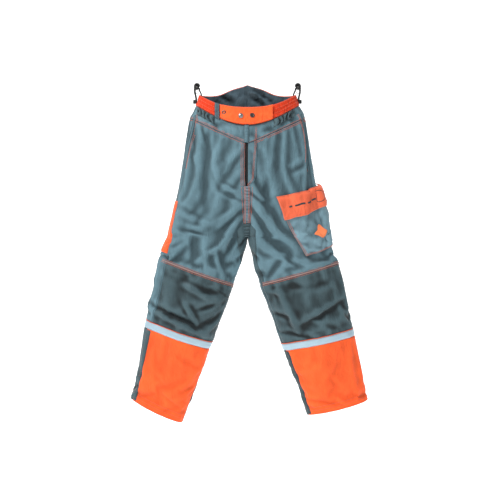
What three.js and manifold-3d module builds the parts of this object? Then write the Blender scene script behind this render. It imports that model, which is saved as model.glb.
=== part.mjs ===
// Chainsaw protective trousers, hanging from two spring clips at the sides of the waistband.
// Millimetres, +Z up. The front faces -Y and the wearer's left is +X. The origin lies on the
// hanging bar's axis, midway between the two clips.
import * as THREE from "three";
import { mergeVertices } from "three/addons/utils/BufferGeometryUtils.js";
import Module from "manifold-3d";

const wasm = await Module();
wasm.setup();

// ---- driving dimensions -----------------------------------------------------------------
const WAIST_HALF = 168; // centre to side fold at the waistband's top edge
const SIDE_TOP = -24; // height of the top edge at the side folds
const FRONT_TOP = -78; // the front edge sags to here at the centre
const BACK_TOP = 24; // the back edge rises to here at the centre
const BAND = 60; // waistband width
const BAND_SIDE_DROP = 38; // what of that width shows at the side fold
const HIP_HALF = 247; // half width where the fly ends
const RISE = 440; // centre front, from the top edge down to the crotch
const THIGH = 286; // flat width of a leg at the crotch
const FLY_END = 265; // centre front, from the top edge down to the end of the fly
const YOKE = 64; // depth of the front yoke at the centre
const LEAN = 16; // degrees that each leg hangs outwards
const DEPTH = 75; // centre front bulge in front of the side folds
const FABRIC = 3; // outer fabric with its lining
const GAP = 0.35; // between neighbouring panels and stacked layers
const TAPE = 26; // reflective tape width
const PAD = 7; // layered cut protection
const SLIT = { right: 8, left: 2 }; // half widths of the fly slit
const TAB = { sewn: 86, free: -91, thick: 3, off: 3.3 }; // closing tab over the band
const CLIP = {
  out: WAIST_HALF + 7, // the pin's distance from the centre
  width: 22,
  top: 17,
  jaw: -54,
  depth: 22,
  lug: 4,
  wall: 4.4,
  pinZ: 2,
  pinR: 1.9,
};

// Each leg: where its sections lie along the leg below the crotch, their flat width, and how
// far each section line is tipped (the inner end hangs lower).
const LEGS = {
  right: {
    side: -1,
    sections: {
      kneeSeam: { along: 134, width: 275, tilt: 20 },
      tape: { along: 348, width: 244, tilt: 19 },
      cuff: { along: 639, width: 202, tilt: 26 },
    },
    seam: 0.425,
    inseam: 0,
  },
  left: {
    side: 1,
    sections: {
      kneeSeam: { along: 141, width: 282, tilt: 16 },
      tape: { along: 367, width: 258, tilt: 12 },
      cuff: { along: 628, width: 219, tilt: 14 },
    },
    seam: 0.52,
    inseam: 0.05,
  },
};

// Names of the levels down the garment; a panel runs from one level number to another.
const LEVEL = { top: 0, bandHem: 1, yoke: 2, hip: 3, flyEnd: 4, crotch: 5, kneeSeam: 6, knee: 7, tape: 8, tapeHem: 9, cuff: 10 };

// ---- materials --------------------------------------------------------------------------
const cloth = (color) => new THREE.MeshStandardMaterial({ color, roughness: 0.85, metalness: 0 });
const PAINT = {
  grey: cloth("#66858d"),
  dark: cloth("#3a4c52"),
  orange: cloth("#f8702f"),
  tape: new THREE.MeshStandardMaterial({ color: "#bdd6e1", roughness: 0.45, metalness: 0.1 }),
  pad: cloth("#e8e4d8"),
  lining: cloth("#4a6068"),
  zip: new THREE.MeshStandardMaterial({ color: "#1b1d1f", roughness: 0.6, metalness: 0 }),
  plastic: new THREE.MeshStandardMaterial({ color: "#141516", roughness: 0.45, metalness: 0 }),
  steel: new THREE.MeshStandardMaterial({ color: "#b9bcc0", roughness: 0.3, metalness: 1 }),
  stud: new THREE.MeshStandardMaterial({ color: "#4b453f", roughness: 0.35, metalness: 0.9 }),
};

const part = new THREE.Group();

function add(name, geometry, material) {
  const mesh = new THREE.Mesh(geometry, material);
  mesh.name = name;
  part.add(mesh);
  return mesh;
}

// ---- the shape of one half of the trousers ------------------------------------------------
const rad = THREE.MathUtils.degToRad;
const crotchZ = FRONT_TOP - RISE;
const legStart = new THREE.Vector2(THIGH / 2, crotchZ + 9); // middle of the leg at the crotch

// A leg's section as its outer and inner ends in the XZ plane, for the +X side.
function section({ along, width, tilt }) {
  const middle = new THREE.Vector2(
    legStart.x + along * Math.sin(rad(LEAN)),
    legStart.y - along * Math.cos(rad(LEAN)),
  );
  const half = new THREE.Vector2(Math.cos(rad(tilt)), Math.sin(rad(tilt))).multiplyScalar(width / 2);
  return { outer: middle.clone().add(half), inner: middle.clone().sub(half) };
}

const between = (a, b, share) => ({
  along: THREE.MathUtils.lerp(a.along, b.along, share),
  width: THREE.MathUtils.lerp(a.width, b.width, share),
  tilt: THREE.MathUtils.lerp(a.tilt, b.tilt, share),
});

// Every level of one half: its outer end, its centre or inner end at the front and at the back,
// its bulge, and the share of the ellipse that the centre plane cuts off.
function levelsOf(leg) {
  const { kneeSeam, tape, cuff } = leg.sections;
  const knee = between(kneeSeam, tape, 0.5);
  const tapeHem = { ...tape, along: tape.along + TAPE, width: tape.width - 3 };
  const pelvis = (x, z, front, back, bulge, cut, curve) => ({
    outer: [x, z],
    front: [0, front],
    back: [0, back],
    bulge,
    cut,
    curve,
  });
  const limb = (s, bulge) => {
    const { outer, inner } = section(s);
    return { outer: outer.toArray(), front: inner.toArray(), back: inner.toArray(), bulge, cut: 0, curve: [1, 1] };
  };
  return [
    pelvis(WAIST_HALF, SIDE_TOP, FRONT_TOP, BACK_TOP, [DEPTH - 6, 45], 0.5, [2.4, 2.6]),
    pelvis(WAIST_HALF + 12, SIDE_TOP - BAND_SIDE_DROP, FRONT_TOP - BAND, BACK_TOP - BAND, [DEPTH, 50], 0.5, [1.8, 1.6]),
    pelvis(WAIST_HALF + 32, SIDE_TOP - 84, FRONT_TOP - BAND - YOKE, -112, [DEPTH, 58], 0.5, [1.1, 1.1]),
    pelvis(HIP_HALF - 19, -228, (FRONT_TOP * 2 - BAND - YOKE - FLY_END) / 2, -222, [DEPTH, 68], 0.48, [1, 1]),
    pelvis(HIP_HALF, FRONT_TOP - FLY_END + 10, FRONT_TOP - FLY_END, -338, [DEPTH, DEPTH], 0.42, [1, 1]),
    pelvis(THIGH, crotchZ + 20, crotchZ, crotchZ, [68, 68], 0, [1, 1]),
    limb(kneeSeam, [66, 60]),
    limb(knee, [64, 58]),
    limb(tape, [60, 56]),
    limb(tapeHem, [59, 56]),
    limb(cuff, [52, 52]),
  ];
}

function curveThrough(levels, pick) {
  const curve = new THREE.CatmullRomCurve3(levels.map((level) => new THREE.Vector3(...pick(level))), false, "catmullrom", 0.4);
  const last = levels.length - 1;
  return (t) => {
    const inside = THREE.MathUtils.clamp(t, 0, last);
    const point = curve.getPoint(inside / last);
    return point.addScaledVector(curve.getTangent(inside / last), (t - inside) * 60);
  };
}

class Half {
  constructor(leg) {
    const levels = levelsOf(leg);
    this.side = leg.side;
    this.seam = leg.seam;
    this.inseam = leg.inseam;
    this.outer = curveThrough(levels, (l) => [l.outer[0], 0, l.outer[1]]);
    this.front = curveThrough(levels, (l) => [l.front[0], 0, l.front[1]]);
    this.back = curveThrough(levels, (l) => [l.back[0], 0, l.back[1]]);
    this.form = curveThrough(levels, (l) => [l.bulge[0], l.bulge[1], l.cut]);
    this.bend = curveThrough(levels, (l) => [l.curve[0], l.curve[1], 0]);
  }

  // The angle at which the ellipse starts at the centre, for a level.
  startAngle(t) {
    return Math.acos(1 - 2 * THREE.MathUtils.clamp(this.form(t).z, 0, 0.5));
  }

  // A point of the bare surface: t is the level, u runs from the centre front or the inseam (0)
  // round the outer side (0.5) to the centre back or the inseam again (1).
  at(t, around) {
    const u = around > 1 ? around - 1 : around;
    const front = u <= 0.5;
    const start = this.startAngle(t);
    const angle = start + (Math.PI - start) * (front ? 2 * u : 2 - 2 * u);
    return this.atAngle(t, angle, front);
  }

  atAngle(t, angle, front) {
    const form = this.form(t);
    const bend = this.bend(t);
    const cut = THREE.MathUtils.clamp(form.z, 0, 0.5);
    const share = THREE.MathUtils.clamp(((1 - Math.cos(angle)) / 2 - cut) / (1 - cut), 0, 1);
    const inner = front ? this.front(t) : this.back(t);
    const outer = this.outer(t);
    const rise = front ? share ** Math.max(bend.x, 1) : 1 - (1 - share) ** Math.max(bend.y, 1);
    const swell = Math.max(Math.sin(angle), 0) ** 0.9;
    return new THREE.Vector3(
      this.side * THREE.MathUtils.lerp(this.centreX(t), outer.x, share),
      (front ? -form.x : form.y) * swell,
      inner.z + (outer.z - inner.z) * rise,
    );
  }

  // How far the half stays from the centre plane: half a gap down to the crotch.
  centreX(t) {
    return Math.max(this.front(t).x, GAP / 2);
  }

  // u on the front where the surface passes the given distance from the centre plane.
  uAtX(t, x) {
    const cut = THREE.MathUtils.clamp(this.form(t).z, 0, 0.5);
    const inner = this.centreX(t);
    const share = THREE.MathUtils.clamp((Math.abs(x) - inner) / (this.outer(t).x - inner), 0, 1);
    const start = this.startAngle(t);
    return (Math.acos(1 - 2 * (cut + (1 - cut) * share)) - start) / (Math.PI - start) / 2;
  }
}

const halves = { right: new Half(LEGS.right), left: new Half(LEGS.left) };

// ---- closed solids from a patch of surface --------------------------------------------------
const STEP = 1e-3;

// The outward normal of surface(a, b), where a runs down the garment and b round it.
function normalOf(surface, a, b, turn) {
  const da = surface(a + STEP, b).sub(surface(a - STEP, b));
  const db = surface(a, b + STEP).sub(surface(a, b - STEP));
  return da.cross(db).normalize().multiplyScalar(turn);
}

// A closed solid between two offsets of surface(a, b), a and b from 0 to 1. The offsets may be
// numbers or functions of a and b. turn is -1 where b runs the other way round the body.
function shell(surface, offsets, rows, columns, { turn = 1, ring = false } = {}) {
  const [low, high] = offsets.map((o) => (typeof o === "function" ? o : () => o));
  const points = [];
  const across = ring ? columns : columns + 1;
  for (const offset of [high, low]) {
    for (let i = 0; i <= rows; i++) {
      for (let j = 0; j < across; j++) {
        const [a, b] = [i / rows, j / columns];
        const normal = normalOf(surface, a, b, turn);
        points.push(surface(a, b).addScaledVector(normal, offset(a, b)));
      }
    }
  }
  const layer = (rows + 1) * across;
  const outer = (i, j) => i * across + (j % across);
  const inner = (i, j) => layer + outer(i, j);
  const faces = [];
  const quad = (p, q, r, s) => faces.push([p, q, r], [p, r, s]);
  for (let i = 0; i < rows; i++) {
    for (let j = 0; j < columns; j++) {
      quad(outer(i, j), outer(i + 1, j), outer(i + 1, j + 1), outer(i, j + 1));
      quad(inner(i, j), inner(i, j + 1), inner(i + 1, j + 1), inner(i + 1, j));
    }
  }
  for (let j = 0; j < columns; j++) {
    quad(outer(0, j), outer(0, j + 1), inner(0, j + 1), inner(0, j));
    quad(outer(rows, j), inner(rows, j), inner(rows, j + 1), outer(rows, j + 1));
  }
  for (let i = 0; i < rows && !ring; i++) {
    quad(outer(i, 0), inner(i, 0), inner(i + 1, 0), outer(i + 1, 0));
    quad(outer(i, columns), outer(i + 1, columns), inner(i + 1, columns), inner(i, columns));
  }
  const geometry = new THREE.BufferGeometry().setFromPoints(points);
  geometry.setIndex(faces.flatMap(([p, q, r]) => (turn > 0 ? [p, q, r] : [p, r, q])));
  return geometry;
}

// A patch of one half between two levels and between two round positions, each a number or a
// function of the level. It is drawn in by half a gap on every side.
function patch(half, [t0, t1], [u0, u1]) {
  const value = (limit, t) => (typeof limit === "function" ? limit(t) : limit);
  const middle = (t0 + t1) / 2;
  const inset = (GAP * 0.005) / half.at(middle, 0.3).distanceTo(half.at(middle + 0.01, 0.3));
  return (a, b) => {
    const t = THREE.MathUtils.lerp(t0 + inset, t1 - inset, a);
    const across = (GAP * 0.005) / half.at(t, 0.3).distanceTo(half.at(t, 0.31));
    return half.at(t, THREE.MathUtils.lerp(value(u0, t) + across, value(u1, t) - across, b));
  };
}

// A stretch of a patch, counted in its rows and columns, so that a layer under or over a panel
// has its facets parallel to the panel's.
function stretch(surface, [rows, columns], [r0, r1], [c0, c1]) {
  return (a, b) =>
    surface(THREE.MathUtils.lerp(r0, r1, a) / rows, THREE.MathUtils.lerp(c0, c1, b) / columns);
}

// A panel with its own grid, and layers that lie on stretches of that same grid.
function panel(name, half, levels, round, material, grid) {
  const surface = patch(half, levels, round);
  const turn = half.side;
  add(name, shell(surface, [-FABRIC, 0], ...grid, { turn }), material);
  return (layer, rows, columns, offsets, paint) => {
    const counts = [rows[1] - rows[0], columns[1] - columns[0]];
    add(layer, shell(stretch(surface, grid, rows, columns), offsets, ...counts, { turn }), paint);
  };
}

// ---- trouser panels -------------------------------------------------------------------------
const inside = (thick) => [-FABRIC - GAP - thick, -FABRIC - GAP];
const outside = (thick) => [GAP, GAP + thick];

for (const [name, half] of Object.entries(halves)) {
  const { seam } = half;
  // The panels stop at the centre front, or at the fly slit, and lower down at the inseam.
  const inseam = (t) => half.inseam * THREE.MathUtils.smoothstep(t, LEVEL.crotch, LEVEL.kneeSeam);
  const fromCentre = (t) => {
    const slit = half.uAtX(Math.min(t, LEVEL.flyEnd), SLIT[name]);
    return slit * THREE.MathUtils.clamp(LEVEL.crotch - t, 0, 1) + inseam(t);
  };
  const toCentre = (t) => 1 + inseam(t);
  panel(`front_yoke_${name}`, half, [LEVEL.bandHem, LEVEL.yoke], [fromCentre, seam], PAINT.grey, [2, 10]);

  const thigh = [LEVEL.yoke, LEVEL.kneeSeam];
  const onThigh = panel(`front_panel_${name}`, half, thigh, [fromCentre, seam], PAINT.grey, [12, 10]);
  onThigh(`thigh_pad_${name}`, [8, 11], [1, 9], inside(PAD), PAINT.pad);
  onThigh(`slash_pocket_bag_${name}`, [1, 6], [6, 9], inside(1.6), PAINT.lining);
  const onSeat = panel(`seat_panel_${name}`, half, thigh, [seam, toCentre], PAINT.dark, [12, 10]);
  if (name === "right") onSeat("side_flash", [7, 11], [0, 2], outside(1.6), PAINT.orange);

  const knee = [LEVEL.kneeSeam, LEVEL.tape];
  const onKnee = panel(`knee_panel_${name}`, half, knee, [inseam, seam], PAINT.dark, [6, 9]);
  onKnee(`knee_pad_${name}`, [1, 5], [1, 8], inside(PAD), PAINT.pad);
  panel(`knee_back_panel_${name}`, half, knee, [seam, toCentre], PAINT.dark, [6, 9]);

  const shin = [LEVEL.tapeHem, LEVEL.cuff];
  const onShin = panel(`shin_panel_${name}`, half, shin, [inseam, seam], PAINT.orange, [4, 9]);
  onShin(`shin_pad_${name}`, [1, 3], [1, 8], inside(PAD), PAINT.pad);
  panel(`shin_back_panel_${name}`, half, shin, [seam, toCentre], PAINT.dark, [4, 9]);

  // The reflective tape is sewn all round the leg.
  const round = (a, b) => {
    const u = ((b % 1) + 1) % 1;
    return half.at(THREE.MathUtils.lerp(LEVEL.tape + 0.005, LEVEL.tapeHem - 0.003, a), u);
  };
  add(`reflective_tape_${name}`, shell(round, [-FABRIC, 0], 1, 22, { turn: half.side, ring: true }), PAINT.tape);
}

// ---- waistband --------------------------------------------------------------------------------
const bandAt = (x, t) => {
  const half = x < 0 ? halves.right : halves.left;
  return half.at(t, half.uAtX(t, x));
};
const bandInset = 0.008;
const bandLevels = (a) => THREE.MathUtils.lerp(bandInset, 1 - bandInset, a);

function frontBand(name, half, from) {
  const surface = (a, b) => {
    const t = bandLevels(a);
    return half.at(t, THREE.MathUtils.lerp(half.uAtX(t, from), 0.4985, b));
  };
  add(name, shell(surface, [-FABRIC, 0], 2, 12, { turn: half.side }), PAINT.orange);
}
frontBand("waistband_front_right", halves.right, 0.4);
frontBand("waistband_front_left", halves.left, 0.4);

// A surface that runs round the back from the left side fold to the right one.
function backSurface(t0, t1) {
  return (a, b) => {
    const t = THREE.MathUtils.lerp(t0, t1, a);
    const half = b < 0.5 ? halves.left : halves.right;
    const u = b < 0.5 ? THREE.MathUtils.lerp(0.5015, 1, 2 * b) : THREE.MathUtils.lerp(1, 0.5015, 2 * b - 1);
    return half.at(t, u);
  };
}
add("waistband_back", shell(backSurface(bandInset, 1 - bandInset), [-FABRIC, 0], 2, 20), PAINT.orange);
add("waistband_back_lining", shell(backSurface(bandInset, 0.9), [-FABRIC - GAP - 1.5, -FABRIC - GAP], 2, 18), PAINT.lining);

// The back yoke runs from one front yoke round the back to the other.
const backYoke = (a, b) => {
  const t = THREE.MathUtils.lerp(LEVEL.bandHem + bandInset, LEVEL.yoke - bandInset, a);
  const half = b < 0.5 ? halves.left : halves.right;
  const start = half.seam + 0.0015;
  const u = b < 0.5 ? THREE.MathUtils.lerp(start, 1, 2 * b) : THREE.MathUtils.lerp(1, start, 2 * b - 1);
  return half.at(t, u);
};
add("back_yoke", shell(backYoke, [-FABRIC, 0], 2, 20), PAINT.dark);

// ---- the closing tab and its fasteners ----------------------------------------------------------
const onTab = (x, t) => bandAt(x, t);
const tabSurface = (a, b) => {
  const x = THREE.MathUtils.lerp(TAB.free, TAB.sewn, b);
  const corner = 0.12 * Math.max(0, 1 - (x - TAB.free) / 12) ** 2; // rounded free end
  return onTab(x, THREE.MathUtils.lerp(0.02 + corner, 0.98 - corner, a));
};
add("waist_tab", shell(tabSurface, [TAB.off, TAB.off + TAB.thick], 3, 16), PAINT.orange);

// Puts a lathed part on the tab or the band, its axis along the surface normal.
function onBand(name, profile, x, t, lift, material, steps = 16) {
  const surface = (a, b) => bandAt(THREE.MathUtils.lerp(x - 5, x + 5, b), t - 0.05 + 0.1 * a);
  const normal = normalOf(surface, 0.5, 0.5, 1);
  const place = bandAt(x, t).addScaledVector(normal, lift);
  const geometry = new THREE.LatheGeometry(profile.map(([r, h]) => new THREE.Vector2(r, h)), steps);
  const mesh = add(name, geometry, material);
  mesh.quaternion.setFromUnitVectors(new THREE.Vector3(0, 1, 0), normal);
  mesh.position.copy(place);
}
const STUD = { radius: 8.2, dome: 2.4, socket: 6.2, bore: 3.2, post: 2.8 };
const tabFront = TAB.off + TAB.thick + 0.5;
const studPlaces = { inner: [-22, 0.52], outer: [16, 0.52] };
const disc = (r, h, dome) => [[0, 0], [r, 0], [r, h], [r * 0.86, h + dome * 0.55], [r * 0.5, h + dome * 0.9], [0, h + dome]];
const ring = (inner, outer, h) => [[inner, 0], [outer, 0], [outer, h * 0.7], [(inner + outer) / 2, h], [inner, h * 0.7], [inner, 0]];
for (const [which, [x, t]] of Object.entries(studPlaces)) {
  onBand(`press_stud_cap_${which}`, disc(STUD.radius, 0.8, STUD.dome), x, t, tabFront, PAINT.stud);
  onBand(`press_stud_socket_${which}`, ring(STUD.bore, STUD.socket, 1.6), x, t, TAB.off - 2.1, PAINT.stud, 12);
  onBand(`press_stud_post_${which}`, disc(STUD.post, 0.8, 0.6), x, t, GAP + 0.2, PAINT.stud, 10);
}
onBand("tab_eyelet", ring(3.1, 7.6, 1.8), -78, 0.5, tabFront - 0.2, PAINT.stud);

// ---- belt loops ---------------------------------------------------------------------------------
const LOOP = { width: 16, thick: 2.2, stand: 3.2 };
function beltLoop(name, place, material, base = 0) {
  const surface = (a, b) => place(THREE.MathUtils.lerp(0.03, 1.12, a), (b - 0.5) * LOOP.width);
  const arch = (a) => base + GAP + 0.3 + LOOP.stand * Math.sin(Math.PI * a) ** 0.5;
  add(name, shell(surface, [(a) => arch(a), (a) => arch(a) + LOOP.thick], 8, 2), material);
}
const loopX = -102;
beltLoop("belt_loop_front_right", (t, dx) => bandAt(loopX + dx, t), PAINT.grey);
const backLoops = { left: [0, 104], centre: [0, 0], right: [1, 104] };
const backAt = (x, t) => {
  const half = x < 0 ? halves.right : halves.left;
  const point = half.at(t, 1 - half.uAtX(t, x));
  return point;
};
for (const [which, [flip, x]] of Object.entries(backLoops)) {
  const centre = flip ? -x : x;
  beltLoop(`belt_loop_back_${which}`, (t, dx) => backAt(centre - dx, t), PAINT.orange);
}

// ---- fly ----------------------------------------------------------------------------------------
const flyX = (SLIT.left - SLIT.right) / 2;
const flyTop = FRONT_TOP - BAND - 6;
const flyFoot = FRONT_TOP - FLY_END + 6;
const ZIP = { pitch: 6, tooth: 2.6, half: 2.8, spine: 1.4, tape: 15, back: -DEPTH + FABRIC };

// One zip side: a comb of teeth on a woven tape, extruded through its thickness.
function zipSide(side) {
  const comb = new THREE.Shape();
  const out = side * ZIP.half;
  const spine = side * ZIP.spine;
  const tip = -side * (ZIP.spine - GAP);
  comb.moveTo(out, flyFoot);
  comb.lineTo(spine, flyFoot);
  const count = Math.floor((flyTop - flyFoot - ZIP.pitch) / ZIP.pitch);
  for (let i = 0; i < count; i++) {
    const z = flyFoot + (i + (side > 0 ? 0.25 : 0.75)) * ZIP.pitch;
    comb.lineTo(spine, z);
    comb.lineTo(tip, z + 0.2);
    comb.lineTo(tip, z + ZIP.tooth - 0.2);
    comb.lineTo(spine, z + ZIP.tooth);
  }
  comb.lineTo(spine, flyTop);
  comb.lineTo(out, flyTop);
  comb.closePath();
  const teeth = new THREE.ExtrudeGeometry(comb, { depth: 2.2, bevelEnabled: false });
  teeth.rotateX(Math.PI / 2); // the outline's y becomes z, its depth runs to -Y
  teeth.translate(flyX, ZIP.back + 2.8, 0);
  const tape = new THREE.BoxGeometry(ZIP.tape, 1.1, flyTop - flyFoot);
  const x = flyX + side * (ZIP.half - 0.2 + ZIP.tape / 2);
  tape.translate(x, ZIP.back + 1.7, (flyTop + flyFoot) / 2);
  return fromSolid(solid(teeth).add(solid(tape)));
}

function solid(geometry) {
  const bare = geometry.clone();
  bare.deleteAttribute("normal");
  bare.deleteAttribute("uv");
  const merged = mergeVertices(bare, 1e-4);
  return new wasm.Manifold(
    new wasm.Mesh({
      numProp: 3,
      vertProperties: new Float32Array(merged.attributes.position.array),
      triVerts: new Uint32Array(merged.index.array),
    }),
  );
}

function fromSolid(made) {
  const mesh = made.getMesh();
  const geometry = new THREE.BufferGeometry();
  geometry.setAttribute("position", new THREE.BufferAttribute(mesh.vertProperties, 3));
  geometry.setIndex(new THREE.BufferAttribute(mesh.triVerts, 1));
  return geometry;
}

add("zip_side_right", zipSide(-1), PAINT.zip);
add("zip_side_left", zipSide(1), PAINT.zip);

const SLIDER = { wide: 8.6, tall: 12, thick: 1.4, ear: 1, barR: 0.75, barOut: 4.5, barUp: 3 };
const sliderZ = flyTop - 10;

// A slider plate with two ears and the bar between them, on which the puller hangs.
function slider() {
  const { wide, tall, thick, ear, barR, barOut, barUp } = SLIDER;
  const bar = new THREE.CylinderGeometry(barR, barR, wide - 1.6, 12).rotateZ(Math.PI / 2);
  let made = solid(new THREE.BoxGeometry(wide, thick, tall).translate(0, -1.3, 0));
  made = made.add(solid(bar.translate(0, -barOut, barUp)));
  for (const side of [-1, 1]) {
    const cheek = new THREE.BoxGeometry(ear, 4.6, 4).translate(side * 3.4, -barOut + 1, barUp);
    made = made.add(solid(cheek));
  }
  return fromSolid(made);
}
add("zip_slider", slider(), PAINT.steel).position.set(flyX, ZIP.back + 0.3, sliderZ);

const PULLER = { wide: 5, long: 24, thick: 1.4, eyeR: 1.8 };

// The puller: a plate with an eye round the slider's bar and a thumb hole at its foot.
function puller() {
  const plate = new THREE.BoxGeometry(PULLER.wide, PULLER.thick, PULLER.long);
  const eye = new THREE.CylinderGeometry(PULLER.eyeR, PULLER.eyeR, PULLER.wide, 16);
  const bore = new THREE.CylinderGeometry(SLIDER.barR + 0.15, SLIDER.barR + 0.15, 9, 12);
  const hole = new THREE.CylinderGeometry(1.4, 1.4, 4, 12);
  let made = solid(plate.translate(0, 0, -PULLER.long / 2));
  made = made.add(solid(eye.rotateZ(Math.PI / 2)));
  made = made.subtract(solid(bore.rotateZ(Math.PI / 2)));
  return fromSolid(made.subtract(solid(hole.translate(0, 0, 4 - PULLER.long))));
}
const barAt = [flyX, ZIP.back + 0.3 - SLIDER.barOut, sliderZ + SLIDER.barUp];
add("zip_puller", puller(), PAINT.steel).position.set(...barAt);

// The fly facing: the left front's edge, doubled and top-stitched, ends in a curve at the foot.
const facing = (a, b) => {
  const t = THREE.MathUtils.lerp(LEVEL.yoke + 0.03, LEVEL.flyEnd - 0.06, a);
  const wide = 30 * Math.sqrt(Math.max(1 - Math.max(0, (a - 0.82) / 0.18) ** 2, 0.05));
  return halves.left.at(t, halves.left.uAtX(t, SLIT.left + 0.5 + wide * b));
};
add("fly_facing", shell(facing, [GAP, GAP + 1.4], 8, 2), PAINT.grey);

// ---- cargo pocket on the left thigh ---------------------------------------------------------------
const left = halves.left;
const POCKET = { top: [4.26, 3.94], foot: [5.55, 5.3], front: [0.14, 0.29], back: 0.54, flapDrop: [0.36, 0.34] };
const pocketLift = (a, b) => 5 + 15 * Math.sin(Math.PI * Math.min(0.12 + 0.8 * a, 1)) * (0.35 + 0.65 * b);
// a runs from the pocket's top edge down, b from its front edge round to the side.
const pocketAt = (a, b) => {
  const t = THREE.MathUtils.lerp(
    THREE.MathUtils.lerp(POCKET.top[0], POCKET.top[1], b),
    THREE.MathUtils.lerp(POCKET.foot[0], POCKET.foot[1], b),
    a,
  );
  return left.at(t, THREE.MathUtils.lerp(THREE.MathUtils.lerp(POCKET.front[0], POCKET.front[1], a), POCKET.back, b));
};
const part_of = (a0, a1, b0, b1) => (a, b) => pocketAt(THREE.MathUtils.lerp(a0, a1, a), THREE.MathUtils.lerp(b0, b1, b));
const POCKET_SEAT = 1.5; // clears the facets of the panels below it
const flapEnd = 0.31;
const bagStart = 0.05;
const bagLift = (a, b) => pocketLift(THREE.MathUtils.lerp(bagStart, 1, a), THREE.MathUtils.lerp(0.02, 0.98, b));
add("cargo_pocket", shell(part_of(bagStart, 1, 0.02, 0.98), [POCKET_SEAT, bagLift], 7, 8), PAINT.grey);
const stripOf = (low, thick) => [
  (a, b) => pocketLift(THREE.MathUtils.lerp(0.14, 0.25, a), THREE.MathUtils.lerp(0.18, 0.82, b)) + low,
  (a, b) => pocketLift(THREE.MathUtils.lerp(0.14, 0.25, a), THREE.MathUtils.lerp(0.18, 0.82, b)) + low + thick,
];
const STRIP = { thick: 1.1, clear: 0.6 };
add("pocket_loop_strip", shell(part_of(0.14, 0.25, 0.18, 0.82), stripOf(STRIP.clear, STRIP.thick), 2, 8), PAINT.zip);
add("flap_hook_strip", shell(part_of(0.14, 0.25, 0.18, 0.82), stripOf(2 * STRIP.clear + STRIP.thick, STRIP.thick), 2, 8), PAINT.zip);
const flapLow = (a, b) => {
  const at = [THREE.MathUtils.lerp(0, flapEnd, a), THREE.MathUtils.lerp(0, 1, b)];
  return pocketLift(...at) + 4 * STRIP.clear + 2 * STRIP.thick;
};
add("cargo_flap", shell(part_of(0, flapEnd, 0, 1), [flapLow, (a, b) => flapLow(a, b) + 2.4], 5, 9), PAINT.orange);

// ---- hanging clips -----------------------------------------------------------------------------------
// A profile in the XZ plane, extruded along Y and centred on it.
function extruded(outline, depth) {
  const geometry = new THREE.ExtrudeGeometry(outline, { depth, bevelEnabled: false, curveSegments: 10 });
  geometry.rotateX(Math.PI / 2);
  return geometry.translate(0, depth / 2, 0);
}

function cylinderY(radius, length, z, segments = 20) {
  return new THREE.CylinderGeometry(radius, radius, length, segments).translate(0, 0, z);
}

const W = CLIP.width / 2;
const shoulder = CLIP.top - W;
const boreR = CLIP.pinR + 0.15;

// The walls' outlines are drawn with the outer wall at -X and the inner one at +X. The outer
// wall tapers to the jaw; the inner one bows round the cloth's top edge before it closes.
function outline(points) {
  return new THREE.Shape(points.map(([x, z]) => new THREE.Vector2(x, z)));
}
const outerWall = outline([
  [-W, shoulder],
  [-W + CLIP.wall, shoulder],
  [-W + CLIP.wall + 1, -20],
  [-0.2, -30],
  [-0.2, CLIP.jaw],
  [-W + 5.6, CLIP.jaw],
  [-W + 5, -32],
  [-W + 0.6, -16],
]);
const innerWall = outline([
  [W, shoulder - 5],
  [W - CLIP.wall, shoulder - 5],
  [W - CLIP.wall, -4],
  [W + 1, -21],
  [0.2, CLIP.jaw],
  [W - 2.2, CLIP.jaw],
  [W + 5.6, -28],
  [W + 5.6, -19],
]);

const bored = (made) => made.subtract(solid(cylinderY(boreR, CLIP.depth + 4, CLIP.pinZ)));

// The fixed half: the outer wall, the arched head that hooks on the bar, and two lugs.
function clipBody() {
  const head = new THREE.Shape();
  head.absarc(0, shoulder, W, 0, Math.PI, false);
  head.lineTo(-W, shoulder - 1);
  head.lineTo(-(W - CLIP.wall), shoulder - 1);
  head.absarc(0, shoulder, W - CLIP.wall, Math.PI, 0, true);
  head.closePath();
  const lug = new THREE.Shape();
  lug.absarc(0, CLIP.pinZ, 5, -Math.PI / 2, Math.PI / 2, false);
  lug.lineTo(-W + 1, CLIP.pinZ + 5);
  lug.lineTo(-W + 1, CLIP.pinZ - 5);
  lug.closePath();
  const wall = solid(extruded(outerWall, CLIP.depth));
  const foot = new THREE.BoxGeometry(12, 9, 14).translate(-W + 2, 0, CLIP.jaw + 7);
  let made = wall.add(solid(extruded(head, CLIP.depth))).add(solid(foot));
  for (const side of [-1, 1]) {
    made = made.add(solid(extruded(lug, CLIP.lug).translate(0, (side * (CLIP.depth - CLIP.lug)) / 2, 0)));
  }
  return bored(made);
}

// The moving half: the inner wall and the tongue that turns on the pin between the lugs.
function clipLever() {
  const tongue = new THREE.Shape();
  tongue.absarc(0, CLIP.pinZ, 4.6, Math.PI / 2, -Math.PI / 2, false);
  tongue.lineTo(W - 1, CLIP.pinZ - 4.6);
  tongue.lineTo(W - 1, CLIP.pinZ - 1);
  tongue.closePath();
  const wall = solid(extruded(innerWall, CLIP.depth - 8));
  return bored(wall.add(solid(extruded(tongue, CLIP.depth - 2 * CLIP.lug - 0.8))));
}

// A flat bow of spring steel between the walls, under the pin.
function clipSpring() {
  const bow = new THREE.Shape();
  bow.absellipse(0, -11.5, W - CLIP.wall - 0.7, 7, 0, 2 * Math.PI);
  const hollow = new THREE.Path();
  hollow.absellipse(0, -11.5, W - CLIP.wall - 1.7, 6, 0, 2 * Math.PI, true);
  bow.holes.push(hollow);
  return extruded(bow, 8);
}

// What the jaws grip: the cloth round the side fold with its lining and a gap on both faces.
function grippedCloth(half) {
  const thick = 2 * FABRIC + 3 * GAP;
  const surface = (a, b) => {
    return half.at(THREE.MathUtils.lerp(-0.02, 1.6, a), THREE.MathUtils.lerp(0.3, 0.7, b));
  };
  return solid(shell(surface, [-thick, 2 * GAP], 6, 24, { turn: half.side }));
}

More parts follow.
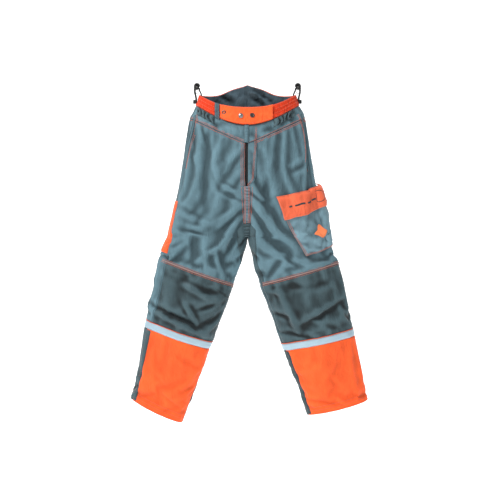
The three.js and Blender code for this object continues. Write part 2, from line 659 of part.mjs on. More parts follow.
const largest = (made) => made.decompose().sort((p, q) => q.volume() - p.volume())[0];
for (const [name, half] of Object.entries(halves)) {
  const x = half.side * CLIP.out;
  const gripped = grippedCloth(half).translate([-x, 0, 0]);
  // The halves are drawn for the wearer's right side and mirrored for the left.
  const fitted = (made) => {
    const turned = half.side > 0 ? made.mirror([1, 0, 0]) : made;
    return fromSolid(largest(turned.subtract(gripped)));
  };
  add(`clip_body_${name}`, fitted(clipBody()), PAINT.plastic).position.x = x;
  add(`clip_lever_${name}`, fitted(clipLever()), PAINT.plastic).position.x = x;
  const pin = cylinderY(CLIP.pinR, CLIP.depth + 2, CLIP.pinZ);
  add(`clip_pin_${name}`, pin, PAINT.steel).position.x = x;
  add(`clip_spring_${name}`, clipSpring(), PAINT.steel).position.x = x;
}

export default part;
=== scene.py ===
# %% [markdown]
# # Chainsaw trousers hanging from two clips
#
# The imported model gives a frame: where every piece sits, how large it is and how it moves.
# This script makes the looks on that frame.

import math

import bmesh
import bpy
import numpy as np
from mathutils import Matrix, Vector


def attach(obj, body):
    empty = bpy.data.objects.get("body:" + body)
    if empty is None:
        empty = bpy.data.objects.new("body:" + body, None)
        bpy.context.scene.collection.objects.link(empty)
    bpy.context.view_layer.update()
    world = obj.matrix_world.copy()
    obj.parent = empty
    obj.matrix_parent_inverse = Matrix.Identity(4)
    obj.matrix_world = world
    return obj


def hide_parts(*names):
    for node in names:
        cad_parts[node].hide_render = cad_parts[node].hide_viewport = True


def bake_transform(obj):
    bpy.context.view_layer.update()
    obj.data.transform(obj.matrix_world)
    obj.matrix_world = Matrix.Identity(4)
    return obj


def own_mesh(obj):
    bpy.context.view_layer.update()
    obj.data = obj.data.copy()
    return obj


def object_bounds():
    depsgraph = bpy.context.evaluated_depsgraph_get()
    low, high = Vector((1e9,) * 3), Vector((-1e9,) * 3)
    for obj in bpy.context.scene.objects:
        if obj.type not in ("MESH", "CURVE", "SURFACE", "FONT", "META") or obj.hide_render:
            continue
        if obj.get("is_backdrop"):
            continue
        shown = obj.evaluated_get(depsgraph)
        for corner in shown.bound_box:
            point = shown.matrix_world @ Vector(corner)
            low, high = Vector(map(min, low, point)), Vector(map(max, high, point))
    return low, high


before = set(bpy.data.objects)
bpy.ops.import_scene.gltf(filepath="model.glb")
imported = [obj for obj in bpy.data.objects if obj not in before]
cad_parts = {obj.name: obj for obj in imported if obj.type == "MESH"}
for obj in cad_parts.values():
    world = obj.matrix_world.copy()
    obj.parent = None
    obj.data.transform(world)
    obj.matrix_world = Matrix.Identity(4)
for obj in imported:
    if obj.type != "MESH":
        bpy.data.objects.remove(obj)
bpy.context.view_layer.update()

# %% [markdown]
# ## Camera, floor and light
#
# Clothing is shown from the front at hip height. A small key light high on one side draws the
# folds, and large weak boxes soften the shadows.
# A sheet that is both floor and backdrop has no corner, so no line crosses the picture.


# %% Point a camera or a light at a place
def aim(thing, place, target):
    """Move thing to place and turn its -Z axis towards target."""
    away = np.subtract(place, target)
    distance = np.linalg.norm(away)
    thing.location = place
    thing.rotation_euler = (
        math.acos(away[2] / distance),
        0,
        math.atan2(away[1], away[0]) + math.pi / 2,
    )


# %% Camera
MIDDLE = (0.009, 0.0, -0.563)
AWAY, RAISED = 2.43, 0.06
camera = bpy.data.objects.new("camera", bpy.data.cameras.new("camera"))
bpy.context.collection.objects.link(camera)
camera.data.lens = 50
camera.data.sensor_width = 36
aim(camera, (MIDDLE[0], -AWAY, MIDDLE[2] + RAISED), MIDDLE)
bpy.context.scene.camera = camera
print("camera", AWAY, "m away, lens", camera.data.lens, "mm")

# %% Soft lights
ROOM, SEEN = 0.42, 1.0  # the world's strength as light on the cloth, and as the eye sees it behind
SOFT_BOXES = {  # place, size in metres, power in watts
    "key_light": ((-1.5, -1.5, 1.7), 1.0, 88),
    "fill_light": ((1.9, -2.2, 0.1), 2.4, 9),
    "back_light": ((0.6, 1.5, 1.7), 1.6, 16),
}
for name, (place, size, power) in SOFT_BOXES.items():
    lamp = bpy.data.lights.new(name, "AREA")
    lamp.size = size
    lamp.energy = power
    light = bpy.data.objects.new(name, lamp)
    bpy.context.collection.objects.link(light)
    aim(light, place, (0, 0, -0.5))
world = bpy.data.worlds.new("studio")
world.use_nodes = True
background = world.node_tree.nodes["Background"]
background.inputs["Color"].default_value = (1, 1, 1, 1)
rays = world.node_tree.nodes.new("ShaderNodeLightPath")
strength = world.node_tree.nodes.new("ShaderNodeMapRange")
strength.inputs["To Min"].default_value = ROOM
strength.inputs["To Max"].default_value = SEEN
world.node_tree.links.new(rays.outputs["Is Camera Ray"], strength.inputs["Value"])
world.node_tree.links.new(strength.outputs[0], background.inputs["Strength"])
bpy.context.scene.world = world
bpy.context.scene.view_settings.view_transform = "Standard"
print("soft boxes:", {name: watts for name, (_, _, watts) in SOFT_BOXES.items()})

# %% [markdown]
# ## Meshes from grids
#
# Cloth is a surface with two parameters, so each piece is a grid of points worked out as one
# numpy array, and `foreach_set` hands the array to Blender in one call.


# %% From a grid of points to an object
def quads(rows, columns, ring=False, flip=False):
    """The faces of a grid: each point with its neighbours below and beside it."""
    i, j = np.meshgrid(np.arange(rows - 1), np.arange(columns if ring else columns - 1), indexing="ij")
    k = (j + 1) % columns
    faces = np.stack(
        [i * columns + j, (i + 1) * columns + j, (i + 1) * columns + k, i * columns + k], -1
    )
    faces = faces.reshape(-1, 4)
    return faces[:, ::-1] if flip else faces


def mesh_of(name, points, faces, uv=None):
    """A mesh from its points (n, 3) and its faces (m, 3 or 4), with a UV place in metres for each point."""
    mesh = bpy.data.meshes.new(name)
    faces = np.ascontiguousarray(faces, dtype=np.int32)
    mesh.vertices.add(len(points))
    mesh.vertices.foreach_set("co", np.asarray(points, dtype=np.float32).ravel())
    mesh.loops.add(faces.size)
    mesh.loops.foreach_set("vertex_index", faces.ravel())
    mesh.polygons.add(len(faces))
    mesh.polygons.foreach_set("loop_start", np.arange(len(faces), dtype=np.int32) * faces.shape[1])
    mesh.polygons.foreach_set("use_smooth", np.full(len(faces), True))
    if uv is not None:
        layer = mesh.uv_layers.new(name="UVMap")
        layer.uv.foreach_set("vector", np.asarray(uv, dtype=np.float32)[faces.ravel()].ravel())
    mesh.update(calc_edges=True)
    mesh.validate()
    return mesh


def object_of(name, mesh, material):
    """An object that shows the mesh in one material, at the origin."""
    mesh.materials.append(material)
    obj = bpy.data.objects.new(name, mesh)
    bpy.context.collection.objects.link(obj)
    return obj


def lengths(points, axis):
    """How far each point of a grid lies along its row (1) or column (0), in metres."""
    steps = np.linalg.norm(np.diff(points, axis=axis), axis=-1)
    start = np.zeros_like(np.take(steps, [0], axis=axis))
    return np.concatenate([start, np.cumsum(steps, axis=axis)], axis=axis)


def cloth_uv(points):
    """UV in metres: the distance along each row, and down the column."""
    across = lengths(points, 1)
    across = across - across.mean(axis=1, keepdims=True)
    down = np.repeat(lengths(points, 0).mean(axis=1, keepdims=True), points.shape[1], axis=1)
    return np.stack([across, -down], -1).reshape(-1, 2)


def thicken(obj, thickness):
    """Solidify gives the sheet its thickness, inwards from the outer face."""
    solid = obj.modifiers.new("thickness", "SOLIDIFY")
    solid.thickness = thickness
    solid.offset = -1
    return obj


def area_of(points):
    """The area of a grid: the sum of |step down x step across|."""
    down, across = np.diff(points, axis=0)[:, :-1], np.diff(points, axis=1)[:-1]
    return float(np.sum(np.linalg.norm(np.cross(down, across), axis=-1)))


# %% Backdrop
def backdrop():
    """The floor, a quarter circle of 0.8 m radius, and the wall, as one profile carried along X."""
    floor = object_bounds()[0][2] - 0.3
    turn = np.linspace(0, math.pi / 2, 17)
    y = np.concatenate([[-6], 1.8 + 0.8 * np.sin(turn), [2.6]])
    z = np.concatenate([[floor], floor + 0.8 * (1 - np.cos(turn)), [5]])
    x = np.array([-6.0, 6.0])
    points = np.stack(np.broadcast_arrays(x[None, :], y[:, None], z[:, None]), -1)
    pale = bpy.data.materials.new("pale_paper")
    pale.use_nodes = True
    shader = pale.node_tree.nodes["Principled BSDF"]
    shader.inputs["Base Color"].default_value = (0.9, 0.9, 0.9, 1)
    shader.inputs["Roughness"].default_value = 0.95
    shader.inputs["Emission Color"].default_value = (1, 1, 1, 1)
    shader.inputs["Emission Strength"].default_value = 0.55
    return object_of(
        "backdrop", mesh_of("backdrop", points.reshape(-1, 3), quads(len(y), 2, flip=True)), pale
    )


backdrop()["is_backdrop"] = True

# %% [markdown]
# ## Cloth, tape, metal and plastic
#
# Work cloth is a firm twill: warp and weft threads about half a millimetre apart, with a soft
# sheen and a colour that is never quite even. Its UV map is in metres, so two crossed waves on it
# give threads of the real size whichever way the cloth hangs. An attribute called `fold` holds how
# far each point stands out; from it the colour is painted lighter on the ridges, as painted
# highlight and a little wear, and darker in the hollows, as painted shade.


# %% Small helpers for node trees
def nodes_of(name):
    """A new material, its principled shader, and a function that adds a node with its settings."""
    material = bpy.data.materials.new(name)
    material.use_nodes = True
    tree = material.node_tree
    shader = tree.nodes["Principled BSDF"]

    def put(kind, inputs=(), **settings):
        node = tree.nodes.new(kind)
        for key, value in settings.items():
            setattr(node, key, value)
        for key, value in dict(inputs).items():
            if isinstance(value, bpy.types.NodeSocket):
                tree.links.new(value, node.inputs[key])
            else:
                node.inputs[key].default_value = value
        return node

    return material, shader, put, tree.links.new


def light_of(red, green, blue):
    """A colour of the sRGB scale, 0 to 255, as linear light."""
    c = np.array([red, green, blue]) / 255
    return (*np.where(c <= 0.04045, c / 12.92, ((c + 0.055) / 1.055) ** 2.4).tolist(), 1.0)


def ranged(put, value, source, target):
    """A node that maps a value from the source range to the target range; gives its output."""
    ends = dict(zip(("From Min", "From Max", "To Min", "To Max"), (*source, *target)))
    return put("ShaderNodeMapRange", {"Value": value, **ends}).outputs[0]


# %% Woven cloth
def woven(name, colour, thread=0.0006, roughness=0.85, sheen=0.12, fade=0.5, weave=0.5):
    """Colour = the dye, mottled by noise, with painted light and shade from `fold`: lighter on ridges,
    darker in hollows; bump = warp + weft waves on the UV map.
    """
    material, shader, put, link = nodes_of(name)
    uv = put("ShaderNodeTexCoord").outputs["UV"]
    place = put("ShaderNodeTexCoord").outputs["Object"]
    mottle = put("ShaderNodeTexNoise", {"Vector": place, "Scale": 14, "Detail": 4, "Roughness": 0.6})
    fibres = put("ShaderNodeTexNoise", {"Vector": uv, "Scale": 900, "Detail": 2})
    fold = put("ShaderNodeAttribute", attribute_name="fold")
    # Painted light and shade of the folds: the colour is up to `fade` lighter on the ridges and darker in
    # the hollows.
    tone = ranged(put, fold.outputs["Fac"], (-1, 1), (1 - fade, 1 + fade))
    spread = ranged(put, mottle.outputs["Fac"], (0.3, 0.7), (0.86, 1.14))
    grain = ranged(put, fibres.outputs["Fac"], (0.3, 0.7), (0.9, 1.1))
    both = put("ShaderNodeMath", {0: tone, 1: spread}, operation="MULTIPLY")
    every = put("ShaderNodeMath", {0: both.outputs[0], 1: grain}, operation="MULTIPLY")
    dyed = put("ShaderNodeVectorMath", {0: colour[:3], "Scale": every.outputs[0]}, operation="SCALE")
    link(dyed.outputs[0], shader.inputs["Base Color"])
    waves = [
        put(
            "ShaderNodeTexWave",
            {"Vector": uv, "Scale": 0.05 / thread * k, "Distortion": 0.6, "Detail": 1},
            bands_direction=d
        )
        for d, k in (("X", 1.0), ("Y", 1.1), ("DIAGONAL", 0.5))
    ]
    threads = put(
        "ShaderNodeMath", {0: waves[0].outputs["Fac"], 1: waves[1].outputs["Fac"]}, operation="ADD"
    )
    twill = put("ShaderNodeMath", {0: threads.outputs[0], 1: waves[2].outputs["Fac"]}, operation="ADD")
    stretched = put(
        "ShaderNodeMapping", {"Vector": place, "Scale": (1, 1, 0.45), "Rotation": (0, 0.5, 0)}
    )
    crumple = put(
        "ShaderNodeTexNoise",
        {"Vector": stretched.outputs[0], "Scale": 42, "Detail": 5, "Roughness": 0.6, "Distortion": 0.8}
    )
    fine = put("ShaderNodeBump", {"Height": twill.outputs[0], "Strength": weave, "Distance": 0.00012})
    soft = put(
        "ShaderNodeBump",
        {
            "Height": crumple.outputs["Fac"], "Normal": fine.outputs[0], "Strength": 0.8,
            "Distance": 0.009
        }
    )
    link(soft.outputs[0], shader.inputs["Normal"])
    shader.inputs["Roughness"].default_value = roughness
    shader.inputs["Sheen Weight"].default_value = sheen
    shader.inputs["Sheen Roughness"].default_value = 0.45
    shader.inputs["Specular IOR Level"].default_value = 0.25
    return material


# %% The cloths of these trousers
# `fade` is the strength of each cloth's painted highlight on the ridges and painted shade in the hollows.
grey_cloth = woven("grey_cloth", light_of(78, 103, 112))
dark_cloth = woven("dark_cloth", light_of(52, 69, 74), fade=0.75, roughness=0.6)
back_cloth = woven("back_cloth", light_of(60, 79, 86), fade=0.5)
orange_cloth = woven("orange_cloth", light_of(246, 94, 42), fade=0.11, sheen=0.15)
gathered_cloth = woven("gathered_orange_cloth", light_of(208, 56, 22), fade=0.3, sheen=0.15)
flap_cloth = woven("flap_cloth", light_of(214, 96, 64), fade=0.25)
pocket_cloth = woven("pocket_cloth", light_of(94, 120, 130))
lining_cloth = woven("lining_cloth", light_of(60, 76, 85), thread=0.0004, roughness=0.7)
pad_cloth = woven("protection_fibre", light_of(226, 221, 206), thread=0.0012, weave=0.8)
loop_cloth = woven("loop_cloth", light_of(68, 82, 90), thread=0.0009, weave=0.9)


# %% Thread, tape, metal and plastic
def plain(name, colour, roughness, metallic=0.0, scale=60.0, depth=0.0002, spread=0.08):
    """One colour with a faint noise in its tone and its bump, for hard and small things."""
    material, shader, put, link = nodes_of(name)
    place = put("ShaderNodeTexCoord").outputs["Object"]
    noise = put("ShaderNodeTexNoise", {"Vector": place, "Scale": scale, "Detail": 3})
    tone = ranged(put, noise.outputs["Fac"], (0.3, 0.7), (1 - spread, 1 + spread))
    dyed = put("ShaderNodeVectorMath", {0: colour[:3], "Scale": tone}, operation="SCALE")
    rough = ranged(put, noise.outputs["Fac"], (0, 1), (roughness * 0.85, min(roughness * 1.15, 1)))
    bump = put("ShaderNodeBump", {"Height": noise.outputs["Fac"], "Strength": 0.4, "Distance": depth})
    link(dyed.outputs[0], shader.inputs["Base Color"])
    link(rough, shader.inputs["Roughness"])
    link(bump.outputs[0], shader.inputs["Normal"])
    shader.inputs["Metallic"].default_value = metallic
    return material


orange_thread = plain("orange_thread", light_of(206, 104, 76), 0.6)
pale_thread = plain("pale_thread", light_of(120, 136, 142), 0.6)
dark_thread = plain("dark_thread", light_of(44, 52, 56), 0.7)
piping_cord = plain("piping_cord", light_of(150, 116, 110), 0.7, scale=400)
orange_piping = plain("orange_piping", light_of(214, 92, 60), 0.7, scale=400)
bright_metal = plain("bright_metal", light_of(150, 148, 146), 0.34, 1.0)
dark_metal = plain("dark_metal", light_of(92, 84, 80), 0.36, 1.0)
black_plastic = plain("black_plastic", light_of(9, 10, 11), 0.5, scale=150)
zip_plastic = plain("zip_plastic", light_of(10, 12, 13), 0.75, scale=300)
flap_binding_cloth = plain("flap_binding_cloth", light_of(226, 112, 78), 0.8, scale=400)
badge_cloth = plain("badge_cloth", light_of(236, 128, 78), 0.8, scale=500, depth=0.0004)


# %% Reflective tape
def reflective(name, colour):
    """Silver beads over cloth: a fine grid of cells across the tape, with a soft metallic sheen."""
    material, shader, put, link = nodes_of(name)
    uv = put("ShaderNodeTexCoord").outputs["UV"]
    cells = put("ShaderNodeTexVoronoi", {"Vector": uv, "Scale": 420, "Randomness": 0.1})
    tone = ranged(put, cells.outputs["Distance"], (0, 0.7), (1.05, 0.86))
    dyed = put("ShaderNodeVectorMath", {0: colour[:3], "Scale": tone}, operation="SCALE")
    bump = put(
        "ShaderNodeBump", {"Height": cells.outputs["Distance"], "Strength": 0.3, "Distance": 0.0002}
    )
    link(dyed.outputs[0], shader.inputs["Base Color"])
    link(bump.outputs[0], shader.inputs["Normal"])
    shader.inputs["Metallic"].default_value = 0.25
    shader.inputs["Roughness"].default_value = 0.42
    return material


silver_tape = reflective("silver_tape", light_of(172, 198, 212))
print("materials:", len(bpy.data.materials))

# %% [markdown]
# ## The shape of one trouser half
#
# Trousers are two tubes sewn together from the crotch up. Each half is one surface with two
# parameters: `t` is the level, from the waistband's top edge (0) to the cuff (10), and `u` runs
# from the centre front or the inseam (0) round the outer side (0.5) to the back (1). The sections
# are the ones that the frame's panels have; a smooth curve joins them.

# %% Sizes of the garment, in metres
WAIST_HALF, SIDE_TOP, FRONT_TOP, BACK_TOP = 0.168, -0.024, -0.078, 0.024
BAND, BAND_SIDE_DROP, YOKE, FLY_END = 0.060, 0.038, 0.064, 0.265
HIP_HALF, THIGH, DEPTH, LEAN = 0.247, 0.286, 0.075, math.radians(16)
CROTCH = FRONT_TOP - 0.440
TAPE = 0.026
SLIT = {"right": 0.008, "left": 0.002}  # how far each side of the fly stands from the centre
LEGS = {  # distance below the crotch, flat width, tip of the section line in degrees
    "right": {
        "side": -1, "seam": 0.425, "inseam": 0.0, "knee": (0.134, 0.275, 20),
        "tape": (0.348, 0.244, 19), "cuff": (0.639, 0.202, 26)
    },
    "left": {
        "side": 1, "seam": 0.52, "inseam": 0.05, "knee": (0.141, 0.282, 16), "tape": (0.367, 0.258, 12),
        "cuff": (0.628, 0.219, 14)
    },
}


# %% The sections
def sections(leg):
    """Rows: outer x, z; front x, z; back x, z; bulge in front, behind; cut; curve in front, behind."""

    def limb(place, front, back):
        """A section of the leg: its place along the leaning leg, and its depth in front and behind."""
        along, width, tilt = place
        middle = np.array([THIGH / 2 + along * math.sin(LEAN), CROTCH + 0.009 - along * math.cos(LEAN)])
        arm = width / 2 * np.array([math.cos(math.radians(tilt)), math.sin(math.radians(tilt))])
        return [*(middle + arm), *(middle - arm), *(middle - arm), front, back, 0, 1, 1]

    knee, tape, cuff = (np.array(leg[k], dtype=float) for k in ("knee", "tape", "cuff"))
    hip_front = (2 * FRONT_TOP - BAND - YOKE - FLY_END) / 2
    return np.array(
        [
            [WAIST_HALF, SIDE_TOP, 0, FRONT_TOP, 0, BACK_TOP, DEPTH - 0.006, 0.045, 0.5, 2.4, 2.6],
            [
                WAIST_HALF + 0.012, SIDE_TOP - BAND_SIDE_DROP, 0, FRONT_TOP - BAND, 0, BACK_TOP - BAND,
                DEPTH, 0.050, 0.5, 1.8, 1.6
            ],
            [
                WAIST_HALF + 0.032, SIDE_TOP - 0.084, 0, FRONT_TOP - BAND - YOKE, 0, -0.112, DEPTH,
                0.058, 0.5, 1.1, 1.1
            ],
            [HIP_HALF - 0.019, -0.228, 0, hip_front, 0, -0.222, DEPTH, 0.068, 0.48, 1, 1],
            [
                HIP_HALF, FRONT_TOP - FLY_END + 0.010, 0, FRONT_TOP - FLY_END, 0, -0.338, DEPTH, DEPTH,
                0.42, 1, 1
            ],
            [THIGH, CROTCH + 0.020, 0, CROTCH, 0, CROTCH, 0.068, 0.068, 0, 1, 1],
            limb(knee, 0.066, 0.060),
            limb((knee + tape) / 2, 0.064, 0.058),
            limb(tape, 0.060, 0.056),
            limb(tape + [TAPE, -0.003, 0], 0.059, 0.056),
            limb(cuff, 0.052, 0.052),
        ]
    )


def through(stations, t, tension=0.4):
    """A Catmull-Rom curve through the rows of stations, at the places t (0 is the first row)."""
    last = len(stations) - 1
    rows = np.concatenate(
        [2 * stations[:1] - stations[1:2], stations, 2 * stations[-1:] - stations[-2:-1]]
    )
    t = np.clip(np.asarray(t, dtype=float), 0, last)
    i = np.minimum(t.astype(int), last - 1)
    s = (t - i).reshape(t.shape + (1,) * (rows.ndim - 1))
    p0, p1, p2, p3 = (rows[i + k] for k in range(4))
    m1, m2 = tension * (p2 - p0), tension * (p3 - p1)
    return (
        (2 * s**3 - 3 * s**2 + 1) * p1 + (s**3 - 2 * s**2 + s) * m1 + (3 * s**2 - 2 * s**3) * p2
        + (s**3 - s**2) * m2
    )


# %% The smooth surface
def smooth_half(leg, t, u):
    """
    Each section is two half ellipses, front and back, on the line from its inner to its outer end.
    The angle runs evenly with u; `cut` is the share of the ellipse beyond the centre plane.
    """
    t, u = np.broadcast_arrays(np.asarray(t, dtype=float), np.asarray(u, dtype=float))
    ox, oz, fx, fz, bx, bz, bulge_f, bulge_b, cut, bend_f, bend_b = (
        np.moveaxis(through(leg["sections"], t), -1, 0)
    )
    u = np.where(u > 1, u - 1, u)
    front = u <= 0.5
    cut = np.clip(cut, 0, 0.5)
    start = np.arccos(1 - 2 * cut)
    angle = start + (math.pi - start) * np.where(front, 2 * u, 2 - 2 * u)
    share = np.clip(((1 - np.cos(angle)) / 2 - cut) / (1 - cut), 0, 1)
    inner_x = np.maximum(np.where(front, fx, bx), 0.0002)
    inner_z = np.where(front, fz, bz)
    rise = np.where(front, share ** np.maximum(bend_f, 1), 1 - (1 - share) ** np.maximum(bend_b, 1))
    x = leg["side"] * (inner_x + (ox - inner_x) * share)
    y = np.where(front, -bulge_f, bulge_b) * np.maximum(np.sin(angle), 0) ** 0.9
    return np.stack([x, y, inner_z + (oz - inner_z) * rise], -1)


for leg in LEGS.values():
    leg["sections"] = sections(leg)


def u_at(leg, t, x):
    """The front's u where the smooth surface is x metres from the centre plane."""
    row = through(leg["sections"], t)
    cut = np.clip(row[..., 8], 0, 0.5)
    inner = np.maximum(row[..., 2], 0.0002)
    share = np.clip((np.abs(x) - inner) / (row[..., 0] - inner), 0, 1)
    start = np.arccos(1 - 2 * cut)
    return (np.arccos(1 - 2 * (cut + (1 - cut) * share)) - start) / (math.pi - start) / 2


# %% [markdown]
# ## The drape
#
# Heavy cloth falls in few, long, soft folds: they fan out from the crotch, run down the thighs,
# break above the knee and bunch behind it. The large folds are placed as ridges along lines.
# Then Blender's cloth solver relaxes the surface: the cloth is a little larger than its
# frame, is held along its seams, and buckles between them as stiff cloth does.


# %% Ridges along lines
def bell(distance, width):
    """A smooth bump: 1 at 0, falling to nothing at a few widths."""
    return np.exp(-((distance / width) ** 2))


def ridge(x, z, start, end, width, height):
    """A fold along a line: steep on one side and gentle on the other, fading at its ends."""
    a, b = np.array(start), np.array(end)
    along = b - a
    span = np.linalg.norm(along)
    px, pz = x - a[0], z - a[1]
    s = np.clip((px * along[0] + pz * along[1]) / span**2, -0.3, 1.3)
    off = (px * along[1] - pz * along[0]) / span
    return height * bell(off, np.where(off > 0, 0.6, 1.3) * width) * bell(s - 0.5, 0.42)


def noise(x, z, cell, seed):
    """Smooth noise, -1 to 1: random values on a lattice of cells, blended by smoothstep."""
    lattice = np.random.default_rng(seed).uniform(-1, 1, (256, 256))
    gx, gz = x / cell + 91, z / cell + 133
    i, j = np.floor(gx).astype(int), np.floor(gz).astype(int)
    fx, fz = (v * v * (3 - 2 * v) for v in (gx - i, gz - j))
    i, j = i % 255, j % 255
    top = lattice[i, j] * (1 - fx) + lattice[i + 1, j] * fx
    low = lattice[i, j + 1] * (1 - fx) + lattice[i + 1, j + 1] * fx
    return top * (1 - fz) + low * fz


# The front's folds: from, to (x, z in metres), width, height; a negative height is a valley.
FRONT_FOLDS = [
    # the yoke and under the waist
    ((-0.094, -0.135), (-0.020, -0.170), 0.009, 0.004),
    ((-0.080, -0.120), (-0.030, -0.150), 0.008, -0.003),
    ((-0.161, -0.130), (-0.139, -0.200), 0.010, -0.007),
    ((-0.125, -0.130), (-0.100, -0.385), 0.014, 0.007),
    ((-0.200, -0.140), (-0.170, -0.300), 0.014, 0.005),
    ((0.106, -0.140), (0.086, -0.320), 0.012, -0.006),
    ((0.130, -0.140), (0.120, -0.280), 0.012, 0.005),
    ((0.165, -0.150), (0.190, -0.260), 0.010, -0.004),
    ((0.128, -0.302), (0.225, -0.255), 0.010, -0.006),
    ((0.120, -0.285), (0.215, -0.240), 0.010, 0.005),
    ((0.067, -0.315), (0.061, -0.390), 0.011, -0.008),
    # fanning out from the crotch
    ((-0.117, -0.300), (-0.090, -0.370), 0.010, -0.006),
    ((-0.100, -0.335), (-0.014, -0.382), 0.009, 0.006),
    ((-0.095, -0.360), (-0.012, -0.398), 0.008, -0.007),
    ((-0.012, -0.405), (-0.110, -0.455), 0.010, 0.008),
    ((-0.015, -0.425), (-0.110, -0.500), 0.010, -0.008),
    ((-0.030, -0.440), (-0.105, -0.560), 0.010, 0.009),
    ((-0.030, -0.470), (-0.080, -0.600), 0.011, -0.010),
    ((0.006, -0.345), (0.060, -0.395), 0.009, 0.007),
    ((0.008, -0.370), (0.080, -0.420), 0.009, -0.008),
    ((0.010, -0.400), (0.165, -0.555), 0.012, 0.010),
    ((0.010, -0.425), (0.110, -0.560), 0.012, -0.010),
    ((0.020, -0.460), (0.080, -0.620), 0.011, 0.007),
    ((0.095, -0.430), (0.125, -0.520), 0.011, -0.008),
    # the thighs
    ((-0.255, -0.400), (-0.150, -0.445), 0.009, -0.004),
    ((-0.250, -0.430), (-0.120, -0.470), 0.010, 0.005),
    ((-0.240, -0.480), (-0.130, -0.510), 0.010, -0.004),
    ((-0.190, -0.480), (-0.186, -0.640), 0.015, -0.008),
    ((-0.150, -0.500), (-0.140, -0.640), 0.015, 0.006),
    ((-0.105, -0.520), (-0.070, -0.665), 0.014, -0.008),
    ((0.106, -0.590), (0.062, -0.670), 0.011, -0.007),
    ((0.156, -0.550), (0.176, -0.625), 0.011, 0.006),
    ((0.186, -0.630), (0.300, -0.595), 0.010, 0.005),
    # the knees
    ((-0.300, -0.605), (-0.165, -0.640), 0.010, 0.006),
    ((-0.292, -0.640), (-0.095, -0.718), 0.009, -0.007),
    ((-0.250, -0.655), (-0.110, -0.740), 0.010, 0.007),
    ((-0.318, -0.757), (-0.139, -0.840), 0.009, -0.009),
    ((-0.325, -0.775), (-0.150, -0.858), 0.010, 0.008),
    ((-0.217, -0.734), (-0.170, -0.826), 0.009, 0.007),
    ((-0.180, -0.701), (-0.094, -0.712), 0.008, -0.006),
    ((-0.167, -0.764), (-0.110, -0.750), 0.008, -0.005),
    ((0.095, -0.675), (0.132, -0.755), 0.008, 0.008),
    ((0.130, -0.740), (0.180, -0.850), 0.009, 0.008),
    ((0.120, -0.690), (0.205, -0.684), 0.010, -0.006),
    ((0.075, -0.705), (0.130, -0.710), 0.008, 0.006),
    ((0.173, -0.810), (0.300, -0.740), 0.014, 0.007),
    ((0.085, -0.780), (0.150, -0.795), 0.009, -0.006),
    ((0.190, -0.700), (0.310, -0.660), 0.012, -0.005),
    ((0.120, -0.845), (0.240, -0.868), 0.010, -0.005),
    # the orange shins
    ((-0.325, -0.968), (-0.280, -1.015), 0.010, 0.005),
    ((-0.245, -0.930), (-0.185, -0.962), 0.010, -0.005),
    ((-0.300, -1.040), (-0.240, -1.095), 0.010, 0.005),
    ((-0.320, -0.900), (-0.300, -1.100), 0.016, -0.004),
    ((0.195, -0.980), (0.275, -0.955), 0.010, 0.005),
    ((0.285, -1.058), (0.358, -1.108), 0.008, 0.005),
    ((0.215, -1.080), (0.345, -1.100), 0.008, -0.004),
    ((0.290, -0.990), (0.330, -1.035), 0.009, 0.005),
    ((0.345, -0.900), (0.375, -1.060), 0.014, 0.004),
]


def folds(points, t, u):
    """How far the cloth stands out at each point: the placed folds, long soft noise and fine crumples."""
    x, z = points[..., 0], points[..., 2]
    front = np.clip((0.5 - np.where(u > 1, u - 1, u)) / 0.06, 0, 1)
    placed = sum(ridge(x, z, *fold) for fold in FRONT_FOLDS) * (1 + 0.7 * bell(t - 7, 0.9))
    lean = np.sign(x) * 0.28
    across, down = x + lean * z, z - lean * x
    long = noise(across, down * 0.28, 0.038, 5) * 0.0042 + noise(across, down * 0.5, 0.021, 6) * 0.0018
    behind = noise(across + 3, down * 0.22, 0.034, 8) * 0.0042 + noise(x + 5, z, 0.03, 9) * 0.002
    knee_back = bell(t - 7, 0.7) * np.sin(down / 0.021 + 2 * noise(x, z, 0.06, 4)) * 0.004
    calm = (
        np.clip((t - 1.0) / 0.6, 0.15, 1) * (1 - 0.7 * bell(t - 8.5, 0.35))
        * (1 - 0.5 * bell(t - 10, 0.15))
    )
    fly = 1 - 0.9 * bell(x, 0.02) * np.clip((4.2 - t) / 0.2, 0, 1)
    return calm * fly * (front * (placed + long) + (1 - front) * (behind + knee_back))


# %% The solver's grid
ROWS, COLUMNS = 190, 130


def evenly(leg, rows):
    """Levels spaced so that the rows are evenly far apart down the front of the leg."""
    t = np.linspace(0, 10, 400)
    run = lengths(smooth_half(leg, t, 0.28)[:, None, :], 0)[:, 0]
    return np.interp(np.linspace(0, run[-1], rows), run, t)


def normals_of(points, side):
    """The outward unit normal of a grid: the way down crossed with the way round."""
    down = np.gradient(points, axis=0)
    normal = np.cross(down, np.gradient(points, axis=1)) * side
    return normal / np.maximum(np.linalg.norm(normal, axis=-1, keepdims=True), 1e-12)


SOLVER = {  # a negative shrink makes the cloth larger than its frame, by 2.2 %
    "quality": 6,
    "mass": 0.12,
    "pin_stiffness": 0.6,
    "shrink_min": -0.022,
    "tension_stiffness": 18,
    "compression_stiffness": 18,
    "shear_stiffness": 8,
    "bending_stiffness": 2.5,
}
FURTHEST = 0.009  # the solver may move a point this far, in metres


def held(t, u):
    """How firmly the solver holds each point: fully at seams and clips, softly elsewhere."""
    seam = np.maximum(bell(u, 0.012), bell(1 - u, 0.012))
    level = sum(
        bell(t - k, w) for k, w in ((0, 0.5), (1, 0.25), (2, 0.06), (6, 0.06), (8.5, 0.55), (10, 0.05))
    )
    return np.clip(0.05 + seam + level, 0, 1)


